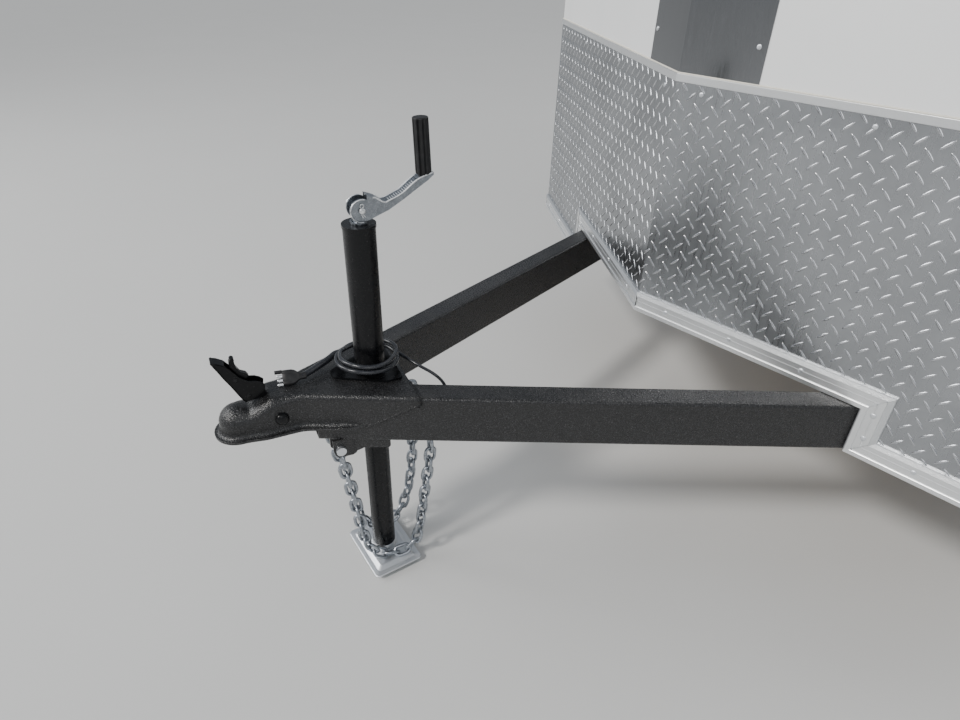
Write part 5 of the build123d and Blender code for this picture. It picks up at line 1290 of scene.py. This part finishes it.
def chain_link(wire):
    """A welded link: a bar round a run of two straights and two half turns, a little thicker at
    the weld in the middle of one straight."""
    half = (LINK_LENGTH - LINK_WIRE_CAD) / 2
    side = (LINK_WIDTH - LINK_WIRE_CAD) / 2
    turn = np.linspace(-np.pi / 2, np.pi / 2, 11)
    right = np.column_stack([half - side + side * np.cos(turn), side * np.sin(turn)])
    run = np.linspace(1, -1, 5)[1:-1]
    top = np.column_stack([run * (half - side), np.full(3, side)])
    path = level(np.concatenate([right, top, -right, -top]), 0)
    weld = 1 + 0.13 * np.exp(-((path[:, 0] / 0.0035) ** 2)) * (path[:, 1] > 0)
    return tube(path, wire / 2 * weld, 10, loop=True)


# The hook's line from its eye over the plate's edge: distance behind the edge, height over the bolt
HOOK_LINE = ((0.001, -0.025), (0.006, -0.012), (0.0118, 0.0), (0.0095, 0.0115), (0.001, 0.0155),
             (-0.008, 0.0126), (-0.0118, 0.0086))
HOOK_SHARE = (0, 0.15, 0.45, 0.75, 0.96, 1.0)
HOOK_THICK = (0.9, 1.0, 1.28, 1.2, 0.7, 0.3)


def chain_hook(eye_top, side_x, wire):
    """An open hook: a bar from the eye round over the plate's edge, thick in its bend and drawn
    to a point at its tip."""
    edge = Y_JACK + HOOK_EDGE
    line = [(side_x, edge + y, CHAIN_TOP + z) for y, z in HOOK_LINE]
    path = smooth_path([(side_x, edge, eye_top - 0.003)] + line, 48)
    radius = np.interp(np.linspace(0, 1, len(path)), HOOK_SHARE, HOOK_THICK) * wire / 2
    return tube(path, radius, 12, up=(1, 0, 0))


class TRAILER_OT_chains(Operator):
    """Hang the safety chains, each link in its place, with their hooks"""

    bl_idname = "trailer.chains"
    bl_label = "Safety chains"

    def execute(self, context):
        wire = context.scene.trailer_sizes.chain_wire
        pattern = chain_link(wire)
        for side in ("left", "right"):
            node = f"safety_chain_{side}"
            solids = solids_of(node)
            tall = [np.ptp(points, axis=0).max() > 1.25 * LINK_LENGTH for points in solids]
            if sum(tall) != 1:
                raise RuntimeError(f"{node}: {sum(tall)} of its {len(solids)} solids look like a hook")
            hook = solids[tall.index(True)]
            eye = hook[hook[:, 2] < hook[:, 2].min() + LINK_LENGTH + 0.0005]
            places = [link_frame(points) for points, long in zip(solids, tall) if not long]
            places.append(link_frame(eye))
            middles = np.array([middle for middle, _ in places])
            axes = np.array([turn for _, turn in places])
            links = copies(pattern, middles, axes)
            bend = chain_hook(hook[:, 2].min() + LINK_LENGTH, middles[-1, 0], wire)
            made = piece(f"chain_{side}", joined(links, bend), "chain_zinc", [node])
            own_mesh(made)
        return {"FINISHED"}


# Stone guard: the first numbers are along the flat sheet from the apex and the height

# First lug, and what the lugs keep clear of the sheet's ends and foot, and of its cap and notches
LUG_START = 0.0160
LUG_TOP = 0.9625
LUG_CLEAR = 0.012
LUG_CLEAR_TRIM = 0.014

# How far the cap, the lower moulding and a screw's head stand out, and where the mouldings end
CAP_OUT = 0.003
TRIM_OUT = 0.006
SCREW_HEIGHT = 0.0022
SHEET_END = NOSE_RUN + 0.0015

# Sealant over the cap: half width, height and how far it laps over the edge
SEALANT_HALF = 0.0016
SEALANT_HEIGHT = 0.0030
SEALANT_LAP = 0.0006

# Screw rows of the lower moulding: first place past its corner or the apex, and what is kept
# clear of the far end. Then heights of the screws beside a notch, over the frame's underside and
# over its top
LOW_ROW = (0.07, 0.02)
HIGH_ROW = (0.075, 0.03)
NOTCH_SCREWS = (0.045, -0.004)

# Screw row under the cap: first place, spacing and distance down. Then those of the nose strip:
# distance beside the apex, what they keep clear at top and bottom, and the strip's thickness
CAP_ROW = (0.055, 0.305, 0.030)
STRIP_ROW = (0.143, 0.06)
STRIP_SHEET = 0.0012

# Screw rows of the side walls: what they keep clear of the fenders, the side door, the nose and
# the rear, and their heights over the frame's underside and under the wall's top
FENDER_CLEAR = 0.03
DOOR_CLEAR = 0.02
ROW_ENDS = (0.06, 0.09)
ROW_HEIGHTS = (0.050, 0.045)

# Joint covers of the walls' sheets: a sheet's width, what the last keeps clear of the rear, and
# half width, thickness and what is left at foot and top
SHEET_WIDTH = 1.2192
SEAM_CLEAR = 0.3
SEAM_HALF = 0.009
SEAM_OUT = 0.0008
SEAM_ENDS = (0.040, 0.027)

# Strip along the walls' foot: thickness, lower and upper edge over the frame's underside, and
# what it keeps clear of the nose, a fender and the rear
FOOT_OUT = 0.0022
FOOT_EDGES = (0.001, 0.037)
FOOT_CLEAR = (0.004, 0.001, 0.062)


def lug(size, width, height):
    """A lens-shaped rib: along its length u its half width falls as one less u squared, and
    across it the crown falls as one less v squared."""
    u = np.array([-1, -0.82, -0.5, 0, 0.5, 0.82, 1])[:, None]
    v = np.array([-1, -0.55, 0, 0.55, 1, 0])
    crown = np.array([0, 0.7, 1, 0.7, 0, 0])
    base = np.array([0, 0, 0, 0, 0, 1])
    x = size / 2 * u + 0 * v
    y = width / 2 * v * (1 - u ** 2) ** 0.7
    z = height * crown * (1 - u ** 4) ** 0.6 - 0.0001 - 0.0003 * base * (1 - u ** 2)
    return surface(np.stack([x, y, z], -1), loop_columns=True)


def tread():
    """Lugs of both hands over the whole sheet, those in the beams' notches left out."""
    sizes = bpy.context.scene.trailer_sizes
    shape = lug(sizes.lug_length, sizes.lug_width, sizes.lug_height)
    reach = int(NOSE_RUN / sizes.lug_across) + 2
    rows = int((GUARD_TOP - FRAME_BOTTOM) / sizes.lug_down) + 2
    across, down = np.meshgrid(np.arange(-reach, reach), np.arange(-2, rows), indexing="ij")
    hands = []
    for shift, slope in ((0.0, -1.0), (0.5, 1.0)):
        s = LUG_START + sizes.lug_across * (across + shift)
        z = LUG_TOP - sizes.lug_down * (down + shift)
        kept = (np.abs(s) < NOSE_RUN - LUG_CLEAR) & (z > FRAME_BOTTOM + LUG_CLEAR)
        kept &= z < GUARD_TOP - LUG_CLEAR_TRIM
        kept &= ~((np.abs(s) < BEAM_RUN + LUG_CLEAR_TRIM) & (z < FRAME_TOP + LUG_CLEAR_TRIM))
        places = level(np.column_stack([s[kept], z[kept]]), GUARD_SHEET)
        slant = math.sqrt(0.5)
        turn = np.array([(slant, slope * slant, 0), (-slope * slant, slant, 0), (0, 0, 1)])
        hands.append(copies(shape, places, turn))
    return on_nose(joined(*hands))


def ribbed(width, height):
    """Profile of the lower moulding: a rolled band at each edge, the upper one serrated, and a
    sunk middle with one fine line."""
    low_band = [(0, 0), (0, 0.70), (0.016, 0.92), (0.03, 1.0), (0.215, 1.0), (0.23, 0.9), (0.245, 0.5)]
    middle = [(0.47, 0.5), (0.485, 0.66), (0.515, 0.66), (0.53, 0.5), (0.745, 0.5)]
    teeth = np.linspace(0.76, 0.965, 15)
    serrated = [(place, 1.0 if index % 2 else 0.86) for index, place in enumerate(teeth)]
    high_band = [(0.984, 0.92), (1.0, 0.70), (1.0, 0)]
    return np.array(low_band + middle + serrated + high_band) * (width, height)


def plain(width, height):
    """Profile of a flat bar with rounded edges."""
    profile = [(0, 0), (0, 0.6), (0.02, 0.88), (0.06, 1), (0.94, 1), (0.98, 0.88), (1, 0.6), (1, 0)]
    return np.array(profile) * (width, height)


def screw_head(radius):
    """A low round head: a flat rim and a shallow dome."""
    profile = [(0, -0.0004), (1, -0.0004), (1, 0.30), (0.94, 0.55), (0.72, 0.86), (0.4, 0.98), (0, 1)]
    return revolved([(radius * r, SCREW_HEIGHT * z if z > 0 else z) for r, z in profile], 12)


def sheet_screws(places, seat, radius):
    """Screw heads on the sheet at run and height, standing on what lies that far off the wall."""
    return on_nose(copies(screw_head(radius), level(places, seat)))


def wall_screws(pitch, radius):
    """Rows of screw heads along the foot and the top of both side walls, left out at the fenders
    and under the side door."""
    rows = []
    clear = low("fender_left").y - FENDER_CLEAR, high("fender_left").y + FENDER_CLEAR
    door = low("side_door_frame").y - DOOR_CLEAR, high("side_door_frame").y + DOOR_CLEAR
    y = np.arange(Y_CORNER + ROW_ENDS[0], Y_REAR - ROW_ENDS[1], pitch)
    for side in (1, -1):
        foot_row = y[(y < clear[0]) | (y > clear[1])]
        if side < 0:
            foot_row = foot_row[(foot_row < door[0]) | (foot_row > door[1])]
        for line, z in ((foot_row, FRAME_BOTTOM + ROW_HEIGHTS[0]), (y, WALL_TOP - ROW_HEIGHTS[1])):
            places = beside(side * HALF, level(line, z))
            rows.append(copies(screw_head(radius), places, facing([(side, 0, 0)], (0, 1, 0))))
    return joined(*rows)


def wall_block(y, z, out):
    """A shallow block on both side walls between two places along Y and two heights."""
    line = [(place - Y_JACK, z[0]) for place in y], [(place - Y_JACK, z[1]) for place in y]
    return mirrored(strip(*line, HALF - 0.0003, HALF + out))


def wall_lines():
    """Joint covers between the side walls' sheets, and the strip along their foot, which stops at
    the fenders."""
    joints = np.arange(Y_CORNER + SHEET_WIDTH, Y_REAR - SEAM_CLEAR, SHEET_WIDTH)
    height = FRAME_BOTTOM + SEAM_ENDS[0], WALL_TOP - SEAM_ENDS[1]
    seams = joined(*[wall_block((y - SEAM_HALF, y + SEAM_HALF), height, SEAM_OUT) for y in joints])
    nose_end, fender_end, rear_end = FOOT_CLEAR
    front = Y_CORNER + nose_end, low("fender_left").y - fender_end
    back = high("fender_left").y + fender_end, Y_REAR - rear_end
    edges = [FRAME_BOTTOM + edge for edge in FOOT_EDGES]
    return seams, joined(*[wall_block(run, edges, FOOT_OUT) for run in (front, back)])


class TRAILER_OT_guard(Operator):
    """Cover the stone guard with its tread, mouldings, sealant and screws"""

    bl_idname = "trailer.guard"
    bl_label = "Stone guard"

    def execute(self, context):
        sizes = context.scene.trailer_sizes
        height, pitch, beam = sizes.trim_height, sizes.screw_pitch, BEAM_RUN
        piece("guard_tread", tread(), "plate_lugs")
        corners = [(SHEET_END, FRAME_BOTTOM), (beam, FRAME_BOTTOM), (beam, FRAME_TOP), (0, FRAME_TOP),
                   (-beam, FRAME_TOP), (-beam, FRAME_BOTTOM), (-SHEET_END, FRAME_BOTTOM)]
        piece("guard_moulding", moulding(corners, ribbed(height, TRIM_OUT), GUARD_SHEET), "bright_trim",
              ["guard_trim_left", "guard_trim_right"], sharp=25.0)
        across = (SHEET_END, 0, -SHEET_END)
        line = [(place, GUARD_TOP - sizes.cap_height) for place in across]
        piece("guard_cap_strip", moulding(line, plain(sizes.cap_height, CAP_OUT), GUARD_SHEET), "bright_trim",
              ["guard_cap"], sharp=25.0)
        edge = [(place, GUARD_TOP - SEALANT_LAP) for place in across]
        turn = np.linspace(0, np.pi, 7)
        round_bead = np.column_stack([SEALANT_HALF - SEALANT_HALF * np.cos(turn),
                                      SEALANT_HEIGHT * np.sin(turn)])
        piece("guard_sealant", moulding(edge, round_bead, 0.0), "sealant")
        low_row = np.arange(beam + height + LOW_ROW[0], NOSE_RUN - LOW_ROW[1], pitch)
        high_row = np.arange(HIGH_ROW[0], beam - HIGH_ROW[1], pitch)
        middle = height / 2
        places = [(s, FRAME_BOTTOM + middle) for s in low_row] + [(s, FRAME_TOP + middle) for s in high_row]
        beside_notch = zip((FRAME_BOTTOM, FRAME_TOP), NOTCH_SCREWS)
        places += [(beam + middle, base + up) for base, up in beside_notch]
        places += [(-s, z) for s, z in places]
        first, step, down = CAP_ROW
        spots = np.arange(first, NOSE_RUN, step)
        top_row = [(s * side, GUARD_TOP - down) for s in spots for side in (-1, 1)]
        out, clear = STRIP_ROW
        strip_height = np.arange(GUARD_TOP + clear, WALL_TOP - clear, pitch)
        strip_row = [(s, z) for z in strip_height for s in (-out, out)]
        small = sizes.screw_radius * 0.9
        screws = joined(sheet_screws(places, GUARD_SHEET + TRIM_OUT * 0.5, sizes.screw_radius),
                        sheet_screws(top_row, GUARD_SHEET, small),
                        sheet_screws(strip_row, STRIP_SHEET, small))
        piece("guard_screws", screws, "zinc_plate")
        piece("wall_screws", wall_screws(pitch, small), "zinc_plate")
        seams, foot_strip = wall_lines()
        piece("wall_seams", seams, "vent_plastic")
        piece("wall_foot_strip", foot_strip, "bright_trim")
        return {"FINISHED"}


# Running gear

TYRE_RADIUS = high("tyre_left").z - AXLE_HEIGHT
TRACK_HALF = (low("tyre_left").x + high("tyre_left").x) / 2

# A block and its cut as shares of their pitch, the cut's depth, and how far the blocks lie askew,
# in turns, at how far from the middle plane
BLOCK_SHARE = (0.0, 0.70, 0.74, 0.96)
CUT_DEPTH = 0.0068
BLOCK_SKEW = 0.0012
SKEW_PLACE = 0.05

# Foot of the valve, outwards from the tyre's middle plane, and behind and above the axle
VALVE_PLACE = (0.020, 0.118, 0.118)


def tyre_profile():
    """Half of the tyre's section from the rim's seat out to the middle of the tread, as distance
    from its middle plane, radius, and whether the blocks' cuts reach it."""
    return np.array([
        (0.060, 0.1915, 0), (0.070, 0.1935, 0), (0.0745, 0.199, 0), (0.0765, 0.206, 0), (0.0795, 0.2075, 0),
        (0.0815, 0.212, 0), (0.089, 0.224, 0), (0.096, 0.240, 0), (0.1008, 0.256, 0), (0.1022, 0.268, 0),
        (0.1018, 0.279, 0), (0.1012, 0.2805, 0), (0.1008, 0.284, 0), (0.1008, 0.2855, 0), (0.0985, 0.300, 0),
        (0.0950, 0.313, 0), (0.0905, 0.3245, 0.3), (0.0860, 0.3318, 1), (0.0800, 0.3368, 1),
        (0.0740, 0.3392, 1), (0.0560, 0.3412, 1), (0.0555, 0.3335, 1), (0.0480, 0.3335, 1),
        (0.0475, 0.3420, 1), (0.0340, 0.3428, 0), (0.0215, 0.3432, 0), (0.0210, 0.3350, 0),
        (0.0140, 0.3350, 0), (0.0135, 0.3434, 0), (0.0, 0.3436, 0)])


def tyre():
    """A tyre turned round X. The section's radius falls in the cuts between blocks, which lie
    more askew the further they are from the middle plane."""
    blocks = bpy.context.scene.trailer_sizes.tread_blocks
    half = tyre_profile()
    half[:, 1] += TYRE_RADIUS - half[:, 1].max()
    other = half[-2::-1] * (-1, 1, 1)
    x, radius, cut = np.concatenate([half, other]).T
    share = (np.arange(blocks)[:, None] + BLOCK_SHARE).ravel() / blocks
    inside = np.tile([0.0, 0.0, 1.0, 1.0], blocks)
    skew = BLOCK_SKEW * np.sign(x) * np.clip(np.abs(x) / SKEW_PLACE, 0, 1.6)
    turn = 2 * np.pi * (share[None] + skew[:, None])
    deep = CUT_DEPTH * np.outer(np.clip(cut, 0, 1), inside)
    distance = radius[:, None] - deep
    points = np.stack([np.repeat(x[:, None], len(share), 1), distance * np.cos(turn),
                       distance * np.sin(turn)], -1)
    return surface(points, loop_rows=True, loop_columns=True)


def valve():
    """Valve stem and cap, turned round Z."""
    return revolved([(0, -0.004), (0.0052, -0.004), (0.0052, 0.002), (0.0038, 0.006), (0.0036, 0.020),
                     (0.0046, 0.0205), (0.0046, 0.030), (0.0036, 0.032), (0, 0.032)], 14)


class TRAILER_OT_tyres(Operator):
    """Fit the treaded tyres and the valves"""

    bl_idname = "trailer.tyres"
    bl_label = "Tyres"

    def execute(self, context):
        shape = tyre()
        for side, name in ((1, "left"), (-1, "right")):
            hub = [(side * TRACK_HALF, Y_AXLE, AXLE_HEIGHT)]
            piece(f"road_tyre_{name}", copies(shape, hub, np.diag([float(side), 1.0, 1.0])), "tyre_rubber",
                  [f"tyre_{name}"], f"wheel_{name}", sharp=35.0)
            out, behind, up = VALVE_PLACE
            foot_place = [(side * (TRACK_HALF + out), Y_AXLE + behind, AXLE_HEIGHT + up)]
            stem = copies(valve(), foot_place, facing([(side * 0.95, -0.22, -0.22)], (0, 1, 0)))
            piece(f"valve_{name}", stem, "rubber", body=f"wheel_{name}")
        return {"FINISHED"}


# Stage: how far the floor reaches, and the lamps' kind, place, aim and settings
FLOOR_REACH = 40.0
SKY_COLOR = (0.84, 0.91, 1.0, 1.0)
SKY_STRENGTH = 0.40
LAMPS = {
    "sun": ("SUN", (0, -6.0, 6.0), (-0.16, -5.28, 5.32),
            {"energy": 2.3, "angle": math.radians(9.0), "color": (1.0, 0.97, 0.93)}),
    "front": ("AREA", (-2.6, -6.4, 3.4), (0.0, -1.8, 0.6), {"size": 2.6, "energy": 170.0}),
    "fill": ("AREA", (6.0, -3.5, 4.5), (0.3, -1.0, 0.8), {"size": 4.0, "energy": 90.0}),
    "back": ("AREA", (3.0, 7.0, 6.0), (0.0, 0.5, 1.0), {"size": 4.0, "energy": 200.0}),
}


class TRAILER_OT_stage(Operator):
    """Set up the pale floor and the soft studio light"""

    bl_idname = "trailer.stage"
    bl_label = "Stage"

    def execute(self, context):
        steps = np.linspace(-FLOOR_REACH, FLOOR_REACH, 9)
        x, y = np.meshgrid(steps, steps, indexing="ij")
        points, faces = surface(np.stack([x, y, np.zeros_like(x)], -1))
        mesh = bpy.data.meshes.new("studio_floor")
        mesh.from_pydata(points.tolist(), [], faces[:, ::-1].tolist())
        mesh.materials.append(material("studio_floor"))
        linked("studio_floor", mesh)
        world = bpy.data.worlds.new("studio")
        world.use_nodes = True
        sky = world.node_tree.nodes["Background"]
        sky.inputs["Color"].default_value = SKY_COLOR
        sky.inputs["Strength"].default_value = SKY_STRENGTH
        context.scene.world = world
        for name, (kind, place, aim, settings) in LAMPS.items():
            lamp = bpy.data.lights.new(name, kind)
            for key, value in settings.items():
                setattr(lamp, key, value)
            turn = (Vector(aim) - Vector(place)).to_track_quat("-Z", "Y").to_matrix().to_4x4()
            linked(name, lamp).matrix_world = Matrix.Translation(place) @ turn
        return {"FINISHED"}


STEPS = (TRAILER_OT_camera, TRAILER_OT_wiring, TRAILER_OT_finishes, TRAILER_OT_coupler, TRAILER_OT_jack,
         TRAILER_OT_chains, TRAILER_OT_guard, TRAILER_OT_tyres, TRAILER_OT_stage)


class TRAILER_PT_dress(Panel):
    """Sizes, colours and steps of the trailer's looks"""

    bl_label = "Cargo trailer"
    bl_idname = "TRAILER_PT_dress"
    bl_space_type = "VIEW_3D"
    bl_region_type = "UI"
    bl_category = "Trailer"

    def draw(self, context):
        for group in (context.scene.trailer_sizes, context.scene.trailer_colors):
            box = self.layout.box()
            for name in group.__annotations__:
                box.prop(group, name)
        for step in STEPS:
            self.layout.operator(step.bl_idname)


CLASSES = (TrailerSizes, TrailerColors, *STEPS, TRAILER_PT_dress)


def register():
    """Register the classes and the scene's property groups."""
    for kind in CLASSES:
        bpy.utils.register_class(kind)
    bpy.types.Scene.trailer_sizes = PointerProperty(type=TrailerSizes)
    bpy.types.Scene.trailer_colors = PointerProperty(type=TrailerColors)


def unregister():
    """Take the property groups and classes away again."""
    del bpy.types.Scene.trailer_colors
    del bpy.types.Scene.trailer_sizes
    for kind in reversed(CLASSES):
        bpy.utils.unregister_class(kind)


def main():
    """Dress the trailer step by step."""
    register()
    for step in STEPS:
        group, name = step.bl_idname.split(".")
        getattr(getattr(bpy.ops, group), name)()


if __name__ == "__main__":
    main()
